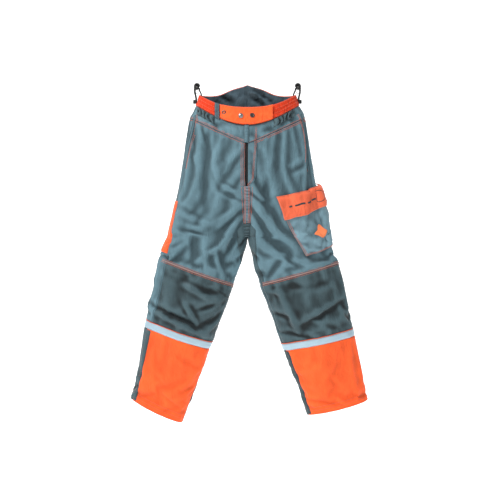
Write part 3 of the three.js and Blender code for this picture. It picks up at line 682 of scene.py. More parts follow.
def relax(name, points, hold, frames=22):
    """Run the cloth solver on a grid held by weights, and return the grid as it has settled."""
    shape = points.shape
    sheet = object_of(name, mesh_of(name, points.reshape(-1, 3), quads(*shape[:2])), grey_cloth)
    group = sheet.vertex_groups.new(name="hold")
    weight = np.round(hold.ravel() * 20) / 20
    for level in np.unique(weight):
        group.add(np.flatnonzero(weight == level).tolist(), float(level), "REPLACE")
    cloth = sheet.modifiers.new("cloth", "CLOTH")
    cloth.settings.vertex_group_mass = "hold"
    for rule, value in SOLVER.items():
        setattr(cloth.settings, rule, value)
    cloth.settings.effector_weights.gravity = 0.25
    cloth.collision_settings.use_collision = False
    cloth.point_cache.frame_end = frames + 1
    for number in range(1, frames + 1):
        bpy.context.scene.frame_set(number)
    shown = sheet.evaluated_get(bpy.context.evaluated_depsgraph_get()).data
    settled = np.empty(len(shown.vertices) * 3, dtype=np.float32)
    shown.vertices.foreach_get("co", settled)
    bpy.context.scene.frame_set(1)
    bpy.data.objects.remove(sheet)
    return settled.reshape(shape).astype(float)


# %% Drape both halves
for name, leg in LEGS.items():
    leg["levels"] = evenly(leg, ROWS)
    t, u = np.meshgrid(leg["levels"], np.linspace(0, 1, COLUMNS), indexing="ij")
    bare = smooth_half(leg, t, u)
    out = folds(bare, t, u)[..., None]
    out[:, -1] = out[:, 0] * (leg["levels"] > 5)[:, None]
    draped = bare + normals_of(bare, leg["side"]) * out
    push = relax(f"drape_{name}", draped, held(t, u)) - draped
    far = np.linalg.norm(push, axis=-1, keepdims=True)
    draped = draped + push * np.minimum(1, FURTHEST / np.maximum(far, 1e-9))
    print(name, "half: the solver asks for", round(float(far.mean()) * 1000, 1), "mm on average")
    shoulders = 0.009 * bell(np.abs(bare[..., 0]) - 0.055, 0.035) - 0.004 * bell(bare[..., 0], 0.018)
    behind = np.clip((u - 0.52) / 0.1, 0, 1) * np.clip(1 - t / 1.6, 0, 1)
    draped[..., 2] += shoulders * behind
    leg["shift"] = draped - bare


# %% A place on the draped cloth
def cloth(leg, t, u, out=0.0):
    """The point at level t and round position u of the draped cloth, moved out along its normal."""
    t, u, out = np.broadcast_arrays(np.asarray(t, float), np.asarray(u, float), np.asarray(out, float))
    wrapped = np.where(u > 1, u - 1, u)
    row = np.interp(t, leg["levels"], np.arange(ROWS))

    def at(r, c):
        i, j = np.clip(r.astype(int), 0, ROWS - 2), np.clip(c.astype(int), 0, COLUMNS - 2)
        total = 0
        wr, wc = weights(r - i), weights(c - j)
        for a in range(4):
            for b in range(4):
                near = leg["shift"][np.clip(i + a - 1, 0, ROWS - 1), np.clip(j + b - 1, 0, COLUMNS - 1)]
                total = total + near * (wr[a] * wc[b])[..., None]
        return total

    def point(tt, uu, rr):
        return smooth_half(leg, tt, uu) + at(rr, uu * (COLUMNS - 1))

    here = point(t, wrapped, row)
    if not np.any(out):
        return here
    return here + out[..., None] * leg_normal(leg, t, wrapped, row, point)


def weights(s):
    """Cubic blending weights of four neighbours, for a place s between the middle two."""
    return (
        (1 - s) ** 3 / 6, (3 * s**3 - 6 * s**2 + 4) / 6, (-3 * s**3 + 3 * s**2 + 3 * s + 1) / 6,
        s**3 / 6
    )


def leg_normal(leg, t, u, row, point):
    """The outward normal, from small steps down and round."""
    dt, du = 0.02, 0.004
    levels = leg["levels"]
    up, low = np.clip(t - dt, 0, 10), np.clip(t + dt, 0, 10)
    down = point(
        low, u, np.interp(low, levels, np.arange(ROWS))
    ) - point(up, u, np.interp(up, levels, np.arange(ROWS)))
    left, right = np.clip(u - du, 0, 1), np.clip(u + du, 0, 1)
    normal = np.cross(down, point(t, right, row) - point(t, left, row)) * leg["side"]
    return normal / np.maximum(np.linalg.norm(normal, axis=-1, keepdims=True), 1e-12)


# %% [markdown]
# ## Cutting the panels
#
# A panel is a stretch of the draped surface. Its edges dip where they are sewn to the next panel,
# and beside the seam the folded allowance stands up in a low ridge, as on a felled seam.


# %% Where panels meet
def smoothstep(value, low, high):
    """0 below low, 1 above high, and s^2 (3 - 2 s) between, with s the share of the way."""
    s = np.clip((value - low) / (high - low), 0, 1)
    return s * s * (3 - 2 * s)


def inseam(leg, t):
    """The u of the inseam: it leaves the crotch at 0 and settles by the knee."""
    return leg["inseam"] * smoothstep(t, 5, 6)


def from_centre(name, t):
    """Where the front starts: at the fly slit, at the centre seam, and below the crotch at the inseam."""
    leg = LEGS[name]
    slit = u_at(leg, np.minimum(t, 4), SLIT[name] * (1 - 0.4 * smoothstep(t, 3.75, 4)))
    return slit * np.clip(5 - t, 0, 1) + inseam(leg, t)


def seam_relief(distance, ridge_on):
    """Height beside a seam: a groove at the join, and a ridge 9 mm wide where the allowance lies."""
    groove = -0.0016 * bell(distance, 0.0016)
    allowance = 0.0007 * smoothstep(distance, 0.001, 0.003) * (1 - smoothstep(distance, 0.008, 0.0105))
    return groove + allowance * ridge_on


PITCH = 0.0042  # metres between neighbouring points of a panel


def panel(
    name, leg, levels, left, right, material, ridges=(0, 0, 0, 0), extra=None, thickness=0.0024,
    sink=0.0, pitch=PITCH, padded=None
):
    """
    A sheet from level to level and from u = left(t) to u = right(t). ridges says on which of the
    top, bottom, left and right edges the allowance lies; extra(points, t, u) adds height.
    """
    t0, t1 = levels
    middle = (t0 + t1) / 2
    tall = lengths(smooth_half(leg, np.linspace(t0, t1, 60), 0.28)[:, None, :], 0)[-1, 0]
    around = np.linspace(float(left(np.array(middle))), float(right(np.array(middle))), 80)
    wide = lengths(smooth_half(leg, middle, around)[None], 1)[0, -1]
    rows, columns = max(int(tall / pitch), 3) + 1, max(int(wide / pitch), 3) + 1
    t = np.interp(np.linspace(0, 1, rows), *even_levels(leg, t0, t1))[:, None]
    share = np.linspace(0, 1, columns)[None, :]
    u = left(t) + (right(t) - left(t)) * share
    flat = smooth_half(leg, t, u)
    down, across = lengths(flat, 0), lengths(flat, 1)
    distances = (down, down[-1:] - down, across, across[:, -1:] - across)
    out = sum(seam_relief(d, k) for d, k in zip(distances, ridges)) - sink
    if extra is not None:
        out = out + extra(flat, t, u, distances)
    points = cloth(leg, t, u, out)
    obj = object_of(
        name,
        mesh_of(
            name, points.reshape(-1, 3), quads(rows, columns, flip=leg["side"] < 0), cloth_uv(points)
        ),
        material
    )
    mark_folds(obj, points, leg["side"])
    thicken(obj, thickness)
    size = (float(across[:, -1].max()), float(down[-1].max()))
    if padded is None:
        min(area_of(flat), size[0] * size[1])
    return obj


def even_levels(leg, t0, t1):
    """Pairs (share of the length, level) along the front, for evenly spaced rows."""
    t = np.linspace(t0, t1, 120)
    run = lengths(smooth_half(leg, t, 0.28)[:, None, :], 0)[:, 0]
    return run / run[-1], t


def mark_folds(obj, points, side):
    """Store how far each point stands out from the average of its surroundings, -1 to 1; the cloth's colour
    turns it into painted light and shade.
    """
    if min(points.shape[:2]) < 8:
        height = np.zeros(points.shape[:2])
    else:
        normal = normals_of(points, side)
        reach = 4
        spread = np.pad(
            points, ((reach, reach), (reach, reach), (0, 0)), mode="reflect", reflect_type="odd"
        )
        inner = slice(reach, -reach)
        low, high = slice(2 * reach, None), slice(None, -2 * reach)
        near = (spread[low, inner] + spread[high, inner] + spread[inner, low] + spread[inner, high]) / 4
        height = np.clip(np.sum((points - near) * normal, axis=-1) / 0.0024, -1, 1)
    store = obj.data.attributes.new("fold", "FLOAT", "POINT")
    store.data.foreach_set("value", height.astype(np.float32).ravel())


# %% Fronts, seat, knees and shins
def constant(value):
    """An edge that keeps one u at every level."""
    return lambda t: value + 0 * t


def follow_leg(piece, name, level):
    """Ride the trousers above the knee and the shin below it; a piece at the knee has its place baked into
    its mesh.
    """
    if level < 6:
        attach(piece, "trousers")
    elif level < 8:
        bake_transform(piece)
    else:
        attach(piece, f"{name}_shin")


for name, leg in LEGS.items():
    ends = [through(leg["sections"], level) for level in (6.02, 7.98)]
    centres = [(leg["side"] * (e[0] + e[2]) / 2, 0.0, (e[1] + e[3]) / 2) for e in ends]
    start = lambda t, n=name: from_centre(n, t)
    stop = lambda t, g=leg: 1 + inseam(g, t)
    inner = lambda t, g=leg: inseam(g, t)
    side = constant(leg["seam"])
    cuts = (
        ("yoke_front", "front_yoke", (1.0, 2.0), start, side, grey_cloth, (0, 1, 0, 0)),
        ("thigh_front", "front_panel", (2.0, 6.0), start, side, grey_cloth, (0, 1, 0, 0)),
        ("seat", "seat_panel", (2.0, 6.0), side, stop, back_cloth, (0, 0, 1, 1)),
        ("knee_front", "knee_panel", (6.0, 8.0), inner, side, dark_cloth, (1, 0, 0, 0)),
        ("knee_back", "knee_back_panel", (6.0, 8.0), side, stop, back_cloth, (1, 0, 1, 0)),
        ("shin_front", "shin_panel", (9.0, 9.999), inner, side, orange_cloth, (0, 0, 0, 0)),
        ("shin_back", "shin_back_panel", (9.0, 9.999), side, stop, dark_cloth, (0, 0, 1, 0)),
    )
    for cut, node, levels, first, last, material, ridges in cuts:
        piece = panel(f"{cut}_{name}", leg, levels, first, last, material, ridges)
        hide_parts(f"{node}_{name}")
        follow_leg(piece, name, levels[0])
    tape = panel(
        f"tape_{name}", leg, (8.0, 9.0), constant(0.0), constant(1.0), silver_tape, sink=-0.0006
    )
    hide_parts(f"reflective_tape_{name}")
    follow_leg(tape, name, 8.0)

# %% [markdown]
# ## Threads, cords and rows of stitches
#
# A row of stitches is hundreds of short threads, so each is a few faces, and numpy carries one
# small capsule to every place along a line in a single step. Piping is a cord sewn into a seam:
# a circle carried along the seam's path.


# %% Lines on the cloth
def with_normals(place):
    """The points place(0), and the unit vectors from them to place(0.001), out of the cloth."""
    low, high = place(0.0), place(0.001)
    return low, (high - low) / np.linalg.norm(high - low, axis=-1, keepdims=True)


def line(leg, t, u, out=0.0):
    """Points of a line on the draped cloth, and the outward normal at each."""
    return with_normals(lambda lift: cloth(leg, t, u, np.asarray(out) + lift))


def evenly_along(points, normals, pitch):
    """Resample a line so that its points are pitch apart."""
    run = lengths(points[:, None, :], 0)[:, 0]
    places = np.arange(pitch / 2, run[-1], pitch)
    pick = lambda values: np.stack([np.interp(places, run, values[:, k]) for k in range(3)], -1)
    return pick(points), pick(normals)


def directions(points, normals):
    """Unit vectors along a line, out of the cloth, and sideways in the cloth."""
    forward = np.gradient(points, axis=0)
    forward /= np.maximum(np.linalg.norm(forward, axis=-1, keepdims=True), 1e-12)
    side = np.cross(forward, normals)
    side /= np.maximum(np.linalg.norm(side, axis=-1, keepdims=True), 1e-12)
    return forward, np.cross(side, forward), side


def moved(points, normals, sideways):
    """The same line shifted sideways in the cloth."""
    return points + directions(points, normals)[2] * sideways, normals


def weld(obj):
    """Join the points that meet at a pole or at the seam of a ring, so that the piece is closed."""
    mesh = bmesh.new()
    mesh.from_mesh(obj.data)
    bmesh.ops.remove_doubles(mesh, verts=mesh.verts, dist=1e-6)
    mesh.to_mesh(obj.data)
    mesh.free()
    return obj


STITCH, THREAD = 0.0042, 0.0007  # from one stitch to the next, and the thread's radius, in metres


def stitches(name, rows, material, pitch=STITCH, thread=THREAD):
    """One capsule per stitch: rings of radius r(s) = thread * (1 - s^4)^0.5 for s from -1 to 1."""
    s = np.array([-0.98, -0.6, 0.0, 0.6, 0.98])
    turn = np.linspace(0, 2 * math.pi, 5, endpoint=False)
    radius = thread * np.sqrt(1 - s**4)
    stations = [evenly_along(points, normals, pitch) for points, normals in rows]
    points = np.concatenate([p for p, _ in stations])
    frames = [directions(p, n) for p, n in stations]
    forward, out, side = (np.concatenate([f[k] for f in frames]) for k in range(3))
    along = s * pitch * 0.36
    verts = (
        points[:, None, None]
        + forward[:, None, None] * along[None, :, None, None]
        + out[:, None, None] * (radius[:, None] * np.cos(turn) + thread * 0.35)[None, :, :, None]
        + side[:, None, None] * (radius[:, None] * np.sin(turn))[None, :, :, None]
    )
    count = len(points)
    rings = quads(5, 5, ring=True, flip=True)
    caps = [[0, k, k + 1] for k in (1, 2, 3)] + [[20, 20 + k + 1, 20 + k] for k in (1, 2, 3)]
    single = np.concatenate([rings[:, [0, 1, 2]], rings[:, [0, 2, 3]], np.array(caps)[:, ::-1]])
    faces = (single[None] + 25 * np.arange(count)[:, None, None]).reshape(-1, 3)
    return object_of(name, mesh_of(name, verts.reshape(-1, 3), faces), material)


def sew(name, rows, material, body="trousers", **sizes):
    """Rows of stitches that ride on a body."""
    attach(stitches(name, rows, material, **sizes), body)


def tube(name, points, normals, radius, material, sides=8, closed=False, flatten=1.0):
    """A circle of the radius carried along a line; an open line's ends shrink to points."""
    forward, out, side = directions(points, normals)
    turn = np.linspace(0, 2 * math.pi, sides, endpoint=False)
    size = np.full(len(points), radius)
    if not closed:
        size[[0, -1]] = 0
    ring = (
        out[:, None] * np.cos(turn)[None, :, None] * flatten
        + side[:, None] * np.sin(turn)[None, :, None]
    )
    verts = points[:, None] + ring * size[:, None, None]
    if closed:
        verts = np.concatenate([verts, verts[:1]])
    uv = np.stack(np.meshgrid(lengths(verts[:, :1], 0)[:, 0], turn * radius, indexing="ij"), -1)
    faces = quads(len(verts), sides, ring=True, flip=True)
    return weld(
        object_of(name, mesh_of(name, verts.reshape(-1, 3), faces, uv.reshape(-1, 2)), material)
    )


# %% Find a place on the front
def find(leg, places):
    """The (t, u) of places (x, z) on the smooth front: the nearest of a grid, then Newton steps."""
    places = np.array(places, dtype=float)
    t, u = np.meshgrid(np.linspace(0, 10, 500), np.linspace(0, 0.5, 120), indexing="ij")
    grid = smooth_half(leg, t, u)[..., [0, 2]]
    near = np.argmin(
        ((grid[None] - places[:, None, None]) ** 2).sum(-1).reshape(len(places), -1), axis=1
    )
    t, u = t.ravel()[near], u.ravel()[near]
    for _ in range(4):
        here = smooth_half(leg, t, u)[:, [0, 2]]
        dt = (smooth_half(leg, t + 0.01, u)[:, [0, 2]] - here) / 0.01
        du = (smooth_half(leg, t, u + 0.001)[:, [0, 2]] - here) / 0.001
        miss = places - here
        area = dt[:, 0] * du[:, 1] - dt[:, 1] * du[:, 0]
        area = np.where(np.abs(area) < 1e-6, 1e-6, area)
        t = np.clip(
            t + np.clip((miss[:, 0] * du[:, 1] - miss[:, 1] * du[:, 0]) / area, -0.05, 0.05), 0, 9.99
        )
        u = np.clip(
            u + np.clip((dt[:, 0] * miss[:, 1] - dt[:, 1] * miss[:, 0]) / area, -0.01, 0.01), 0, 0.5
        )
    return t, u


def curve_on(leg, places, count=60, out=0.0006):
    """A smooth line on the front through places given by (x, z)."""
    path = through(np.array(places, dtype=float), np.linspace(0, len(places) - 1, count), 0.5)
    t, u = find(leg, path)
    return line(leg, t, u, out)


# %% [markdown]
# ## The waistband
#
# The band is a stiff orange strip. At the sides an elastic inside draws it into fine gathers:
# ripples across the band, pinched where rows of stitches cross them. The front is smooth, and a
# tab closes over it with press studs.


# %% Gathers
def gathers(spacing, depth, rows=4):
    """Height = depth * (a skewed wave along the band) * (flat at each stitched row)."""

    def height(points, t, u, distances):
        """The gathers' height at each point, from its distances to the four edges."""
        down, up, left, right = distances
        s = left + 0.0016 * noise(left, down, 0.02, 31)
        wave = np.sin(
            2 * math.pi * s / spacing + 3.2 * noise(left, down, 0.016, 32)
        ) * (0.7 + 0.6 * noise(left, down, 0.02, 33))
        rowed = np.abs(np.sin(math.pi * rows * down / (down + up).max(axis=0))) ** 0.5
        fade = smoothstep(left, 0, 0.006) * smoothstep(right, -0.004, 0.003)
        return depth * (wave * (0.35 + 0.65 * rowed) + 0.4 * rowed) * fade

    return height


def band_edge(points, t, u, distances):
    """The band's long edges are rounded: they fall by half a millimetre in the last two."""
    down, up = distances[:2]
    return -0.0006 * (bell(down, 0.0012) + bell(up, 0.0012))


BAND_LEVELS = (0.01, 0.99)
centre_back = constant(0.9999)  # just short of 1, where u starts again
SMOOTH_TO = {"right": 0.100, "left": 0.087}
for name, leg in LEGS.items():
    reach = SMOOTH_TO[name]
    meets = lambda t, g=leg, r=reach: u_at(g, t, r)
    centre = lambda t, g=leg: u_at(g, t, 0.0004)
    plain_band = panel(
        f"band_centre_{name}", leg, BAND_LEVELS, centre, meets, orange_cloth, extra=band_edge,
        thickness=0.003, pitch=0.003
    )
    gathered = panel(
        f"band_gathered_{name}", leg, BAND_LEVELS, meets, constant(0.4985), gathered_cloth,
        extra=gathers(0.0085, 0.0011), thickness=0.003, pitch=0.0016
    )
    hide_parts(f"waistband_front_{name}")
    back = panel(
        f"band_back_{name}", leg, BAND_LEVELS, constant(0.5015), centre_back, gathered_cloth,
        extra=gathers(0.0105, 0.0008), thickness=0.003, pitch=0.002
    )
    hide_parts("waistband_back")
    yoke_back = panel(
        f"yoke_back_{name}", leg, (1.0, 2.0), constant(leg["seam"]), centre_back, back_cloth,
        (0, 1, 0, 1)
    )
    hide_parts("back_yoke")

    def rumpled(points, t, u, distances):
        """Loose lining: three drawn pleats and noise, which end where the side seam holds it."""
        x, z = points[..., 0], points[..., 2]
        pleats = (
            ((0.005, 0.014), (0.080, -0.036)),
            ((0.0, -0.006), (0.070, -0.060)),
            ((-0.115, -0.004), (-0.050, -0.045)),
        )
        drawn = sum(ridge(x, z, start, end, 0.008, -0.011) for start, end in pleats)
        rumple = drawn + 0.004 * noise(x * 1.5, z * 0.5, 0.03, 51) - 0.0015
        side = smoothstep(distances[2], 0.012, 0.06)
        return rumple * side + 0.0042 * (1 - side)

    lining = panel(
        f"lining_back_{name}", leg, (0.03, 2.3), constant(0.502), centre_back, lining_cloth,
        extra=rumpled, thickness=0.001, sink=0.0075
    )
    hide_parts("waistband_back_lining")
    fly = lambda t, g=leg: u_at(g, t, 0.026)
    lining_front = panel(
        f"lining_front_{name}", leg, (0.06, 1.95), fly, constant(0.498), lining_cloth, thickness=0.001,
        sink=0.0045
    )
    for piece in (plain_band, gathered, back, yoke_back, lining, lining_front):
        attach(piece, "trousers")
    # Deep gathers below the band at each side; their dark cloth is painted shade in the gathers.
    x0, x1 = (0.112, 0.172) if name == "right" else (0.089, 0.160)
    first = lambda t, g=leg, x=x0: u_at(g, t, x)
    last = lambda t, g=leg, x=x1: u_at(g, t, x)
    shaded_gathers = panel(
        f"gathers_with_painted_shade_{name}", leg, (1.02, 1.62), first, last,
        dark_cloth, extra=gathers(0.019, 0.0045, 1), thickness=0.0012, sink=-0.0030, pitch=0.002,
    )
    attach(shaded_gathers, "trousers")


# %% [markdown]
# ## Tab, studs and belt loops
#
# The small parts of the waist cross the centre, so they are placed by their distance from it and
# by the level. Metal parts are turned: a profile swept round the normal of the cloth.


# %% Places across both halves
LEAST_SHARE = 0.31  # a sheet's flat area is at least this share of its length times its width


def front_at(x, t, out=0.0):
    """A point of the front at x metres from the centre, on whichever half it falls."""
    x, t, out = np.broadcast_arrays(np.asarray(x, float), np.asarray(t, float), np.asarray(out, float))
    right, left = (cloth(LEGS[n], t, u_at(LEGS[n], t, x), out) for n in ("right", "left"))
    return np.where((x < 0)[..., None], right, left)


def back_at(x, t, out=0.0):
    """A point of the back at x metres from the centre."""
    x, t, out = np.broadcast_arrays(np.asarray(x, float), np.asarray(t, float), np.asarray(out, float))
    right, left = (cloth(LEGS[n], t, 1 - u_at(LEGS[n], t, x), out) for n in ("right", "left"))
    return np.where((x < 0)[..., None], right, left)


def strip(name, points, material, thickness, body, *nodes, flip=False):
    """A sheet from a grid whose rows run down and whose columns run towards +X in front."""
    obj = object_of(
        name,
        mesh_of(name, points.reshape(-1, 3), quads(*points.shape[:2], flip=flip), cloth_uv(points)),
        material
    )
    mark_folds(obj, points, -1 if flip else 1)
    thicken(obj, thickness)
    if nodes:
        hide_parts(*nodes)
    size = (float(lengths(points, 1)[:, -1].max()), float(lengths(points, 0)[-1].max()))
    box = size[0] * size[1]
    max(min(area_of(points), box), LEAST_SHARE * box)
    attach(obj, body)
    return obj


# %% The closing tab
TAB_FREE, TAB_SEWN, TAB_TOP = -0.091, 0.086, 0.0066  # its ends from the centre, and its height


def tab_point(x, share, out=TAB_TOP):
    """share runs from the tab's upper edge (0) to its lower edge (1); the free end is rounded."""
    corner = 0.12 * np.clip(1 - (x - TAB_FREE) / 0.012, 0, 1) ** 2
    edge = np.minimum(np.minimum(share, 1 - share) * 0.058, np.minimum(x - TAB_FREE, TAB_SEWN - x))
    round_off = -0.0009 * bell(edge, 0.0013)
    ripple = 0.0006 * noise(x, share * 0.05, 0.03, 61)
    return front_at(x, 0.02 + corner + (0.96 - 2 * corner) * share, out + round_off + ripple)


across, share = np.meshgrid(np.linspace(TAB_FREE, TAB_SEWN, 90), np.linspace(0, 1, 30))
strip("closing_tab", tab_point(across, share), orange_cloth, 0.003, "tab", "waist_tab")


def outline_of(point, inset_x, inset_share, count=40):
    """The line that runs round a four-sided piece, a little inside its edges."""
    low, high = inset_share, 1 - inset_share
    x0, x1 = inset_x
    edge = np.linspace(0, 1, count)
    xs = np.concatenate(
        [x0 + (x1 - x0) * edge, np.full(count, x1), x1 + (x0 - x1) * edge, np.full(count, x0)]
    )
    ss = np.concatenate(
        [np.full(count, low), low + (high - low) * edge, np.full(count, high), high + (low - high) * edge]
    )
    return with_normals(lambda lift: point(xs, ss, lift))


row = outline_of(
    lambda x, s, lift: tab_point(x, s, TAB_TOP + lift), (TAB_FREE + 0.006, TAB_SEWN - 0.004), 0.07
)
sew("tab_stitches", [row], orange_thread, body="tab")


# %% Press studs and the eyelet
def lathe(name, profile, place, normal, material, body, node):
    """A profile (radius, height) turned about the normal, standing on the place."""
    profile = through(np.array(profile), np.linspace(0, len(profile) - 1, 5 * len(profile)), 0.5)
    turn = np.linspace(0, 2 * math.pi, 36, endpoint=False)
    axis = normal / np.linalg.norm(normal)
    first = np.cross(axis, [0, 0, 1.0])
    first /= np.linalg.norm(first)
    second = np.cross(axis, first)
    circle = first[None] * np.cos(turn)[:, None] + second[None] * np.sin(turn)[:, None]
    verts = (
        place + circle[None] * np.maximum(profile[:, :1, None], 0) + axis * profile[:, 1][:, None, None]
    )
    faces = quads(len(profile), 36, ring=True, flip=True)
    obj = weld(object_of(name, mesh_of(name, verts.reshape(-1, 3), faces), material))
    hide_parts(node)
    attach(obj, body)
    return obj


# Profiles from the middle of the top, over the rim, to the middle of the foot: (radius, height).
DOME = [
    (0, 0.0036), (0.003, 0.0034), (0.0058, 0.0024), (0.0066, 0.0012), (0.0074, 0.0013),
    (0.0082, 0.0006), (0.0082, -0.0002), (0.004, -0.0004), (0, -0.0004)
]
DISH = [
    (0, 0.0008), (0.003, 0.0008), (0.0052, 0.001), (0.0062, 0.0022), (0.0072, 0.0022), (0.0082, 0.0010),
    (0.0082, -0.0002), (0.004, -0.0004), (0, -0.0004)
]
RING = [
    (0.0034, 0.0), (0.0034, 0.0014), (0.0046, 0.0021), (0.0062, 0.0016), (0.0074, 0.0),
    (0.006, -0.0003), (0.0040, -0.0003), (0.0034, 0.0)
]
for name, profile, x, t, node, metal in (
    ("stud_dome", DOME, -0.022, 0.52, "press_stud_cap_inner", bright_metal),
    ("stud_dish", DISH, 0.016, 0.52, "press_stud_cap_outer", dark_metal),
    ("eyelet_ring", RING, -0.078, 0.5, "tab_eyelet", dark_metal),
):
    place, above = front_at(x, t, TAB_TOP + 0.0002), front_at(x, t, TAB_TOP + 0.0012)
    lathe(name, profile, place, above - place, metal, "tab", node)


# %% Belt loops
def belt_loop(name, at, centre, node, material, flip=False):
    """A strip 16 mm wide, arched 3 mm over the band: height = stand * sin(pi a)^0.5."""
    a, x = np.meshgrid(np.linspace(0, 1, 30), np.linspace(-0.008, 0.008, 9), indexing="ij")
    edge = -0.0004 * bell(0.008 - np.abs(x), 0.001)
    out = 0.0030 + 0.0032 * np.maximum(np.sin(math.pi * a), 0) ** 0.5 + edge
    points = at(centre + (-x if flip else x), 0.03 + 1.09 * a, out)
    strip(name, points, material, 0.0021, "trousers", node)
    rows = []
    for offset in (-0.0045, 0.0045):
        s = np.linspace(0.02, 0.98, 40)
        height = 0.0030 + 0.0032 * np.sin(math.pi * s) ** 0.5
        x_row = centre + offset
        rows.append(with_normals(lambda lift: at(x_row, 0.03 + 1.09 * s, height + lift)))
    sew(f"{name}_stitches", rows, pale_thread)


belt_loop("loop_front_right", front_at, -0.102, "belt_loop_front_right", loop_cloth)
for side, x in (("left", 0.104), ("centre", 0.0), ("right", -0.104)):
    belt_loop(f"loop_back_{side}", back_at, x, f"belt_loop_back_{side}", orange_cloth, flip=True)

# %% Piping on the back's top edge, and stitches along the band
for name, leg in LEGS.items():
    u = np.linspace(0.502, 0.9995, 90)
    points, normals = line(leg, np.full(90, 0.02), u, -0.0012)
    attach(tube(f"top_piping_{name}", points, normals, 0.0021, orange_piping), "trousers")
    rows = []
    for t, stop in ((0.09, 0.4985), (0.9, 0.4985), (0.36, 0.4985), (0.64, 0.4985)):
        first = u_at(leg, np.array(t), SMOOTH_TO[name] + 0.004)
        rows.append(line(leg, np.full(50, t), np.linspace(float(first), stop, 50), 0.0012))
        rows.append(line(leg, np.full(60, t), np.linspace(0.503, 0.998, 60), 0.0012))
    sew(f"band_stitches_{name}", rows, orange_thread)

# %% [markdown]
# ## Fly, pockets and seams
#
# The fly's edge is doubled and top-stitched in a J. The side pockets open along a slanted edge,
# and the thigh pocket hangs under a stiff orange flap. Orange thread on grey cloth makes every
# seam a drawn line, so the rows of stitches carry much of the look.

# %% The fly
left, right = LEGS["left"], LEGS["right"]
FACING_WIDTH = 0.030
a, b = np.meshgrid(np.linspace(0, 1, 60), np.linspace(0, 1, 12), indexing="ij")
width = FACING_WIDTH * np.sqrt(np.clip(1 - np.clip((a - 0.82) / 0.18, 0, None) ** 2, 0.02, 1))
t = 2.03 + 1.91 * a
facing = cloth(
    left, t, u_at(left, t, SLIT["left"] + 0.0002 + width * b),
    0.0028 - 0.0007 * bell(b, 0.08) - 0.0007 * bell(1 - b, 0.08)
)
strip("fly_edge", facing, grey_cloth, 0.0014, "trousers", "fly_facing")
J_LINE = [
    (0.033, -0.147), (0.030, -0.192), (0.027, -0.235), (0.024, -0.290), (0.015, -0.328),
    (-0.002, -0.346)
]
j_line = curve_on(left, [(max(x, 0.001), z) for x, z in J_LINE], out=0.0032)
rows = [j_line, moved(*j_line, 0.004)]
sew("fly_j_stitches", rows, orange_thread)
beside = curve_on(right, [(-0.0145, -0.200), (-0.0150, -0.270), (-0.0150, -0.345)], out=0.0006)
sew("fly_side_stitches", [beside, moved(*beside, 0.006), moved(*beside, -0.006)], orange_thread)
for name, leg in LEGS.items():
    t = np.linspace(4.05, 4.97, 60)
    start = from_centre(name, t)
    rows = [line(leg, t, start + step, 0.0004) for step in (0.010, 0.022)]
    sew(f"crotch_stitches_{name}", rows, orange_thread, thread=0.0008)


# %% [markdown]
# ## The centre
#
# Where the two halves meet, a strip crosses the seam and the thread draws it in, so it puckers.
# A leaf-shaped gusset of dark cloth fills the crotch, so that the legs can part.


# %% The centre seam and the dark gusset
def bridge(name, levels, widths, material, pucker, at=front_at, out=0.0014, crown=0.0025):
    """A strip over the centre: straight from half to half, with a low crown and fine puckers."""
    t, side = np.meshgrid(np.linspace(*levels, 60), np.linspace(-1, 1, 15), indexing="ij")
    ends = [at(np.full(t.shape, width), t, out) for width in widths]
    share = ((side + 1) / 2)[..., None]
    points = ends[0] * (1 - share) + ends[1] * share
    wave = np.sin(
        2 * math.pi * points[..., 2] / 0.010 + 2 * noise(points[..., 0], points[..., 2], 0.02, 81)
    )
    outwards = -1 if at is front_at else 1
    points[..., 1] += outwards * (1 - side**2) * (crown + pucker * wave)
    normals = np.zeros_like(points)
    normals[..., 1] = outwards
    return strip(name, points, material, 0.0014, "trousers", flip=outwards > 0), points, normals


_, points, normals = bridge("centre_seam_strip", (4.03, 4.74), (-0.012, 0.010), pocket_cloth, 0.0016)
rows = [(points[:, k] - [0, 0.0006, 0], normals[:, k]) for k in (1, 4, 10, 13)]
sew("centre_seam_stitches", rows, orange_thread, thread=0.0009)
bridge("crotch_cover", (4.72, 4.995), (-0.014, 0.014), dark_cloth, 0.0016)
lap, _, _ = bridge(
    "fly_top_lap", (1.03, 1.98), (-0.011, 0.006), grey_cloth, 0.0004, out=0.0008, crown=0.0052
)
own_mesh(lap)
bridge(
    "lining_centre_tape", (0.03, 2.25), (-0.012, 0.012), lining_cloth, 0.0, at=back_at, out=-0.0085,
    crown=-0.0006
)
_, points, normals = bridge(
    "seat_seam_strip", (1.0, 4.97), (-0.007, 0.007), back_cloth, 0.0003, at=back_at, out=0.0004,
    crown=0.0008
)
rows = [(points[:, k] + [0, 0.0006, 0], normals[:, k]) for k in (2, 12)]
sew("seat_seam_stitches", rows, pale_thread)
bridge(
    "band_centre_back", BAND_LEVELS, (-0.006, 0.006), gathered_cloth, 0.0002, at=back_at, out=0.0004,
    crown=0.0004
)
GUSSET_FOOT = {"right": 5.55, "left": 5.96}  # the level of its lower tip
GUSSET_WIDTH = {"right": 0.002, "left": 0.012}  # its width there, in metres
for name, leg in LEGS.items():

    def leaf(t, g=leg, n=name):
        """The gusset's outer edge: its width grows at the crotch and fades down the inseam."""
        foot = GUSSET_WIDTH[n]
        wide = (
            0.030 * smoothstep(t, 4.66, 4.86) * (1 - smoothstep(t, 5.0, 5.5))
            + foot * smoothstep(t, 4.9, 5.4)
        )
        inner = np.maximum(through(g["sections"], t)[..., 2], 0.0002)
        return np.maximum(u_at(g, t, inner + wide), from_centre(n, t)) + 0.006

    levels = (4.66, GUSSET_FOOT[name])
    start = lambda t, n=name: from_centre(n, t) + 0.002
    gusset = panel(
        f"crotch_gusset_{name}", leg, levels, start, leaf,
        dark_cloth, thickness=0.0012, sink=-0.0016,
    )
    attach(gusset, "trousers")

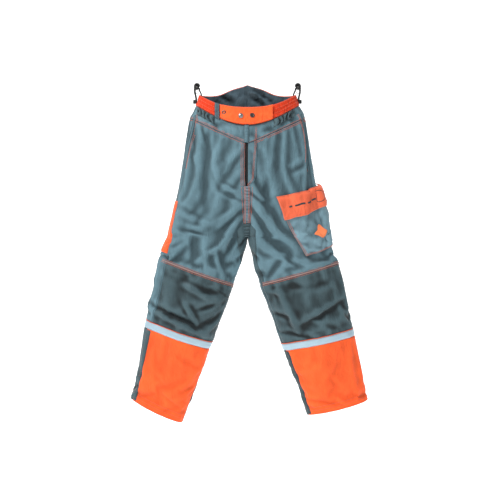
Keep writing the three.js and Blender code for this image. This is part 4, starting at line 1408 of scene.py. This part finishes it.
# %% Strips beside the knees and shins
side_strip = panel(
    "knee_side_strip_right", right, (5.68, 7.97), constant(0.385), constant(0.47), grey_cloth,
    (0, 0, 1, 1), thickness=0.0014, sink=-0.0016
)
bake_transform(side_strip)
for name, leg, edges in (("right", right, (0.385, 0.47)), ("left", left, (0.024, 0.085))):
    shin_strip = panel(
        f"shin_side_strip_{name}", leg, (9.02, 9.985), constant(edges[0]), constant(edges[1]),
        dark_cloth, (0, 0, 1, 1), thickness=0.0014, sink=-0.0014
    )
    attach(shin_strip, f"{name}_shin")
t = np.linspace(5.72, 7.94, 160)
strip_rows = stitches(
    "knee_side_strip_stitches", [line(right, t, np.full(160, k), 0.0024) for k in (0.393, 0.455)],
    dark_thread
)
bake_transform(strip_rows)

rows = [
    curve_on(
        right, [(-0.106 + 0.005 * k, -0.695 - 0.003 * k), (-0.090 + 0.005 * k, -0.715 - 0.003 * k)], 12
    )
    for k in range(6)
]
patch = stitches("knee_patch_stitches", rows, dark_thread, pitch=0.003)
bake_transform(patch)

# %% [markdown]
# ## Pockets
#
# A side pocket is a lip, a shadow behind it and a bag inside. The thigh pocket is drawn on its own
# two coordinates: a down from its top edge and b round from its front edge.

# %% Side pockets
SIDE_POCKETS = {
    "right": [(-0.177, -0.098), (-0.187, -0.145), (-0.200, -0.205), (-0.215, -0.278)],
    "left": [(0.177, -0.095), (0.193, -0.142), (0.205, -0.212), (0.218, -0.286)],
}
for name, places in SIDE_POCKETS.items():
    leg = LEGS[name]
    points, normals = curve_on(leg, places, 60, 0.0012)
    lip = tube(f"pocket_lip_{name}", points, normals, 0.0034, grey_cloth, sides=12, flatten=0.55)
    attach(lip, "trousers")
    inside = curve_on(leg, places, 60, 0.0006)
    # A dark cord behind the lip: painted shadow in the pocket's opening.
    shadow = tube(
        f"pocket_mouth_shadow_{name}", *moved(*inside, 0.0045 * leg["side"] * -1), 0.0016, dark_cloth,
        flatten=0.5
    )
    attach(shadow, "trousers")
    rows = [moved(*inside, leg["side"] * k) for k in (0.007, 0.0125)]
    sew(f"pocket_stitches_{name}", rows, orange_thread)
    bag = panel(
        f"pocket_bag_{name}", leg, (2.34, 3.98), constant(leg["seam"] * 0.62),
        constant(leg["seam"] * 0.9), lining_cloth, thickness=0.0012, sink=0.0045
    )
    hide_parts(f"slash_pocket_bag_{name}")
    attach(bag, "trousers")

# %% The thigh pocket
TOP_EDGE, FOOT_EDGE = (4.26, 3.94), (5.55, 5.30)  # levels at the front and at the side
FRONT_EDGE, BACK_EDGE = (0.14, 0.29), 0.54  # u at the top and at the foot, and u at the side
FLAP_END = 0.31  # the flap covers this share of the pocket
EDGE_X = [
    float(smooth_half(left, np.array(level[0]), np.array(u))[0])
    for level, u in zip((TOP_EDGE, FOOT_EDGE), FRONT_EDGE)
]


def on_pocket(a, b, out):
    """a runs from the pocket's top edge down, b from its straight front edge round to the side."""
    t_front = TOP_EDGE[0] * (1 - a) + FOOT_EDGE[0] * a
    t = t_front * (1 - b) + (TOP_EDGE[1] * (1 - a) + FOOT_EDGE[1] * a) * b
    u = u_at(left, t_front, EDGE_X[0] * (1 - a) + EDGE_X[1] * a) * (1 - b) + BACK_EDGE * b
    return cloth(left, t, u, out)


def pocket_lift(a, b):
    """How far the empty pocket stands off the thigh: most in its middle and towards the side."""
    return 0.005 + 0.015 * np.sin(math.pi * np.minimum(0.12 + 0.8 * a, 1)) * (0.35 + 0.65 * b)


def pocket_height(a, b):
    """The bag's height: its lift, crumpled below the flap, falling to the cloth at its sewn edges."""
    rim = np.minimum(np.minimum(b - 0.02, 0.98 - b) * 0.20, (1 - a) * 0.20)
    crumple = 0.0030 * noise(a * 0.2, b * 0.2, 0.03, 71) + 0.0014 * noise(a * 0.2, b * 0.2, 0.013, 72)
    swell = pocket_lift(a, b) + crumple * smoothstep(a, FLAP_END, FLAP_END + 0.12)
    return (
        0.0032 + (swell - 0.0032) * smoothstep(rim, 0.0, 0.012) ** 0.6
        + 0.0008 * bell(rim - 0.004, 0.002)
    )


a, b = np.meshgrid(np.linspace(0.05, 1, 58), np.linspace(0.02, 0.98, 62), indexing="ij")
strip(
    "thigh_pocket", on_pocket(a, b, pocket_height(a, b)), pocket_cloth, 0.0018, "trousers",
    "cargo_pocket"
)
a, b = np.meshgrid(np.linspace(0.14, 0.25, 10), np.linspace(0.18, 0.82, 40), indexing="ij")
strip(
    "loop_tape", on_pocket(a, b, pocket_lift(a, b) + 0.0017), zip_plastic, 0.0011, "trousers",
    "pocket_loop_strip"
)
strip(
    "hook_tape", on_pocket(a, b, pocket_lift(a, b) + 0.0034), zip_plastic, 0.0011, "flap",
    "flap_hook_strip"
)


def flap_height(a, b):
    """The flap's height: it lies over the bag, and its edges are rounded."""
    lift = pocket_lift(a, b) + 0.0070
    edge = np.minimum(np.minimum(b, 1 - b) * 0.17, (FLAP_END - a) * 0.20)
    return (
        0.0040 + (lift - 0.0040) * smoothstep(a, -0.02, 0.05) - 0.0009 * bell(edge, 0.0014)
        + 0.0007 * noise(a * 0.2, b * 0.2, 0.025, 73)
    )


a, b = np.meshgrid(np.linspace(0, FLAP_END, 30), np.linspace(0, 1, 66), indexing="ij")
strip("pocket_flap", on_pocket(a, b, flap_height(a, b)), flap_cloth, 0.0024, "flap", "cargo_flap")


# %% Rows of stitches and plain marks on the pocket
def on_pocket_line(a, b, height, above):
    """Points above the surface on_pocket(a, b, height(a, b)), and the normal at each."""
    a, b = np.broadcast_arrays(np.asarray(a, float), np.asarray(b, float))
    return with_normals(lambda lift: on_pocket(a, b, height(a, b) + above + lift))


def on_flap_line(a, b, above=0.0003):
    """A line on the flap."""
    return on_pocket_line(a, b, flap_height, above)


edge = np.linspace(0, 1, 60)
flap_rows = [
    on_flap_line(0.012, 0.02 + 0.96 * edge),
    on_flap_line(FLAP_END - 0.022, 0.02 + 0.96 * edge),
    on_flap_line(0.012 + (FLAP_END - 0.034) * edge, 0.022),
    on_flap_line(0.012 + (FLAP_END - 0.034) * edge, 0.978),
]
sew("flap_stitches", flap_rows, orange_thread, body="flap")
sides = (
    on_flap_line(FLAP_END * edge, 0.004, -0.0008),
    on_flap_line(FLAP_END - 0.004, 0.004 + 0.992 * edge, -0.0008),
    on_flap_line(FLAP_END * (1 - edge), 0.996, -0.0008),
)
around = [np.concatenate([row[k] for row in sides]) for k in (0, 1)]
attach(tube("flap_binding", *around, 0.0014, flap_binding_cloth), "flap")
bars = [(0.10, 0.15), (0.18, 0.30), (0.32, 0.39), (0.41, 0.53)]
for number, (first, last) in enumerate(bars):
    points, normals = on_flap_line(0.17, np.linspace(first, last, 16), 0.0002)
    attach(tube(f"flap_bar_{number + 1}", points, normals, 0.0030, dark_thread, flatten=0.25), "flap")
turn = np.linspace(0, 2 * math.pi, 40, endpoint=False)
points, normals = on_flap_line(0.155 + 0.080 * np.sin(turn), 0.65 + 0.080 * np.cos(turn), 0.0002)
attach(tube("flap_ring", points, normals, 0.0010, dark_thread, closed=True, flatten=0.5), "flap")


def on_bag_line(a, b, above=0.0004):
    """A line on the pocket's bag."""
    return on_pocket_line(a, b, pocket_height, above)


bag_rows = [
    on_bag_line(0.33 + 0.65 * edge, 0.045),
    on_bag_line(0.975, 0.04 + 0.92 * edge),
    on_bag_line(0.33 + 0.65 * edge, 0.955),
]
sew("pocket_edge_stitches", bag_rows, orange_thread, thread=0.0009)
sides = (on_bag_line(0.3 + 0.695 * edge, 0.022), on_bag_line(0.995, 0.022 + 0.95 * edge))
cord_path = [np.concatenate([row[k] for row in sides]) for k in (0, 1)]
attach(tube("pocket_piping", *cord_path, 0.0013, piping_cord), "trousers")
reach, turn = np.meshgrid(np.linspace(0, 1, 8), np.linspace(0, 2 * math.pi, 49), indexing="ij")
lobe = reach * (1 + 0.16 * np.cos(4 * turn))
badge, _ = on_bag_line(0.63 + 0.115 * lobe * np.sin(turn), 0.44 + 0.125 * lobe * np.cos(turn), 0.0009)
badge_piece = object_of(
    "pocket_badge", mesh_of("pocket_badge", badge.reshape(-1, 3), quads(8, 49), cloth_uv(badge)),
    badge_cloth
)
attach(thicken(weld(badge_piece), 0.0008), "trousers")
corners = np.cross(np.diff(badge, axis=0)[:, :-1], np.diff(badge, axis=1)[1:])

# %% The orange flash on the outer thigh
flash = panel(
    "thigh_flash", right, (4.34, 5.66), constant(0.396), constant(0.535), orange_cloth,
    thickness=0.0014, sink=-0.0020, pitch=0.003
)
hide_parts("side_flash")
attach(flash, "trousers")
t = np.linspace(4.37, 5.63, 60)
sew("flash_stitches", [line(right, t, np.full(60, k), 0.0022) for k in (0.402, 0.529)], orange_thread)


# %% [markdown]
# ## Seams
#
# Rows of stitches follow each seam a few millimetres beside it: orange in front, grey at the sides
# and behind. Piping lies in the seam above the knee and round the cuff.

# %% Seams of each half
for name, leg in LEGS.items():
    seam = leg["seam"]
    body = f"{name}_shin"
    across = lambda t, n=name, g=leg: np.linspace(
        float(from_centre(n, np.array(t))) + 0.004, g["seam"] - 0.003, 90
    )
    yoke_line = line(leg, np.full(90, 2.0), across(2.0), 0.0004)
    rows = [moved(*yoke_line, k) for k in (-0.0035, 0.0035, 0.0080)]
    sew(f"yoke_stitches_{name}", rows, orange_thread, thread=0.0008)
    knee_line = line(leg, np.full(90, 6.0), across(6.0), 0.0010)
    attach(tube(f"knee_piping_{name}", *knee_line, 0.0024, piping_cord, flatten=0.8), "trousers")
    rows = [moved(*knee_line, k) for k in (-0.0055, 0.0055)]
    sew(f"knee_seam_stitches_{name}", rows, orange_thread)
    t = np.linspace(1.05, 5.95, 300)
    side_rows = [line(leg, t, np.full(300, seam - step), 0.0007) for step in (0.006, 0.020)]
    sew(f"side_stitches_{name}", side_rows, pale_thread)
    t = np.linspace(6.05, 7.95, 90)
    rows = [
        line(leg, t, np.full(90, seam - 0.008), 0.0006), line(leg, t, inseam(leg, t) + 0.012, 0.0006)
    ]
    knee_rows = stitches(f"knee_side_stitches_{name}", rows, pale_thread)
    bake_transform(knee_rows)
    behind = np.linspace(seam + 0.004, 0.996, 110)
    rows = [moved(*line(leg, np.full(110, 2.0), behind, 0.0006), k) for k in (0.0035, 0.0085)]
    sew(f"back_yoke_stitches_{name}", rows, pale_thread)
    behind = np.linspace(seam + 0.004, 0.996 + float(inseam(leg, 6.0)), 110)
    rows = [moved(*line(leg, np.full(110, 6.0), behind, 0.0006), k) for k in (-0.0045, 0.0045)]
    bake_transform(stitches(f"knee_back_stitches_{name}", rows, pale_thread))
    t = np.linspace(9.03, 9.97, 90)
    rows = [
        line(leg, t, np.full(90, seam - 0.010), 0.0006), line(leg, t, inseam(leg, t) + 0.012, 0.0006)
    ]
    ring = np.linspace(0.001, 0.999, 140)
    rows += [line(leg, np.full(140, level), ring, 0.0006) for level in (9.88, 9.93)]
    sew(f"shin_stitches_{name}", rows, orange_thread, body=body)
    rows = [line(leg, np.full(140, level), ring, 0.0012) for level in (8.12, 8.88)]
    sew(f"tape_stitches_{name}", rows, silver_tape, thread=0.0005, body=body)
    ring = np.linspace(0, 1, 140, endpoint=False)
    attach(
        tube(
            f"tape_edge_{name}", *line(leg, np.full(140, 8.01), ring, 0.0008), 0.0013, orange_piping,
            closed=True, flatten=0.7
        ),
        body
    )
    for part, ends, cover in (
        ("front", (inseam(leg, 10), seam), orange_cloth),
        ("back", (seam, 1 + inseam(leg, 10)), back_cloth)
    ):
        edge_line = line(leg, np.full(80, 9.995), np.linspace(*ends, 80), -0.0012)
        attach(tube(f"cuff_{part}_edge_{name}", *edge_line, 0.0021, cover), body)

# %% [markdown]
# ## The protection inside
#
# Long loose fibres in eight layers stop a chain. They are quilted into pads that hang behind the
# front of each leg, and show only in the cuffs and the waist. A pad follows the cloth in front of
# it, a few millimetres behind, so it can't push through a fold.


# %% Quilted pads
def quilted(points, t, u, distances):
    """Height = -depth at the sewn channels, which cross each other every 45 mm; 0 between."""
    down, up, left, right = distances
    channel = np.minimum(
        np.abs(np.sin(math.pi * (down + left) / 0.064)), np.abs(np.sin(math.pi * (down - left) / 0.064))
    )
    edge = np.minimum(np.minimum(down, up), np.minimum(left, right))
    return -0.0016 * bell(channel, 0.16) - 0.002 * bell(edge, 0.004)


FILL, PAD_INSET = 0.35, 0.05
PADS = {"thigh_pad": (4.70, 5.62), "knee_pad": (6.36, 7.64), "shin_pad": (9.26, 9.74)}
for name, leg in LEGS.items():
    for pad_name, levels in PADS.items():
        first, last = (lambda t, g=leg: inseam(g, t) + PAD_INSET), constant(leg["seam"] - PAD_INSET)
        pad = panel(
            f"{pad_name}_layers_{name}", leg, levels, first, last, pad_cloth, extra=quilted,
            thickness=0.0055, sink=0.0085, padded=FILL,
        )
        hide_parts(f"{pad_name}_{name}")
        follow_leg(pad, name, levels[0])

# %% [markdown]
# ## The clips
#
# A hanging clip is moulded in black plastic: a fixed half that hooks over the bar, and a lever
# that turns on a steel pin. Both are flat bars bent in one plane, so each is a rounded section
# carried along a path.


# %% Moulded bars
def bar(path, thick, deep, shift=0.0):
    """A section |a|^4 + |b|^4 = 1, thick in the plane and deep across it, carried along (x, z)."""
    path = np.array(path, dtype=float)
    path = through(path, np.linspace(0, len(path) - 1, 9 * len(path)), 0.5)
    forward = np.gradient(path, axis=0)
    forward /= np.linalg.norm(forward, axis=1, keepdims=True)
    turn = np.linspace(0, 2 * math.pi, 20, endpoint=False)
    a, b = (np.sign(v) * np.abs(v) ** 0.5 for v in (np.cos(turn), np.sin(turn)))
    size = np.ones(len(path))
    size[[0, -1]], size[[1, -2]] = 0, 0.9
    x = path[:, :1] + forward[:, 1:] * a * size[:, None] * thick
    z = path[:, 1:] - forward[:, :1] * a * size[:, None] * thick
    y = np.broadcast_to(b * deep, x.shape) * size[:, None] + shift
    return np.stack([x, y, z], -1)


def moulded(name, bars, side, material, body, node):
    """Bars drawn for the wearer's right side, in millimetres from the pin's line, mirrored for the left."""
    verts, faces, count = [], [], 0
    for grid in bars:
        verts.append(grid.reshape(-1, 3))
        faces.append(quads(len(grid), grid.shape[1], ring=True, flip=side > 0) + count)
        count += grid[..., 0].size
    points = np.concatenate(verts) / 1000 * [-side, 1, 1] + [side * CLIP_OUT, 0, 0]
    obj = weld(object_of(name, mesh_of(name, points, np.concatenate(faces)), material))
    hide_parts(node)
    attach(obj, body)
    return obj


CLIP_OUT = WAIST_HALF + 0.007
arch = [(8.0 * math.cos(v), 6 + 8.0 * math.sin(v)) for v in np.linspace(0, math.pi, 7)]
fixed = [
    bar([*arch, (-8.0, -6), (-7.6, -16), (-4.9, -27), (-3.3, -38), (-3.3, -53)], 3.3, 10.8),
    bar([(-1.0, -47), (-14.5, -47)], 6.8, 4.4),
    bar([(-8.0, 2), (4.6, 2)], 4.9, 2.0, 9.0),
    bar([(-8.0, 2), (4.6, 2)], 4.9, 2.0, -9.0),
    bar([(-7.5, 7.5), (7.5, 7.5)], 6.0, 1.4, 8.5),
]
lever = [
    bar(
        [(8.1, 0.6), (8.3, -6), (11.4, -14), (14.2, -21), (13.6, -28), (7.2, -42), (4.6, -53)], 2.7, 6.8
    ),
    bar([(-2.4, 1.6), (7.6, -0.6)], 3.2, 6.4),
]
for side, name in ((-1, "right"), (1, "left")):
    moulded(f"clip_shell_{name}", fixed, side, black_plastic, "trousers", f"clip_body_{name}")
    moulded(
        f"clip_arm_{name}", lever, side, black_plastic, f"clip_lever_{name}_body", f"clip_lever_{name}"
    )

# %% [markdown]
# ## Hard parts that keep their CAD shape
#
# The zip, the studs' hidden halves and the clips' pins and springs already have the right shape, so
# they only get their materials.

# %% Materials for the carried-over nodes
FINISH = {
    "zip_side_right": zip_plastic,
    "zip_side_left": zip_plastic,
    "zip_slider": dark_metal,
    "zip_puller": dark_metal,
}
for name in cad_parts:
    if name.startswith("press_stud_") and "cap" not in name:
        FINISH[name] = dark_metal
    if name.startswith(("clip_pin", "clip_spring")):
        FINISH[name] = bright_metal
for name, material in FINISH.items():
    for place in bpy.data.objects[name].material_slots:
        place.material = material
print("finished nodes:", len(FINISH))
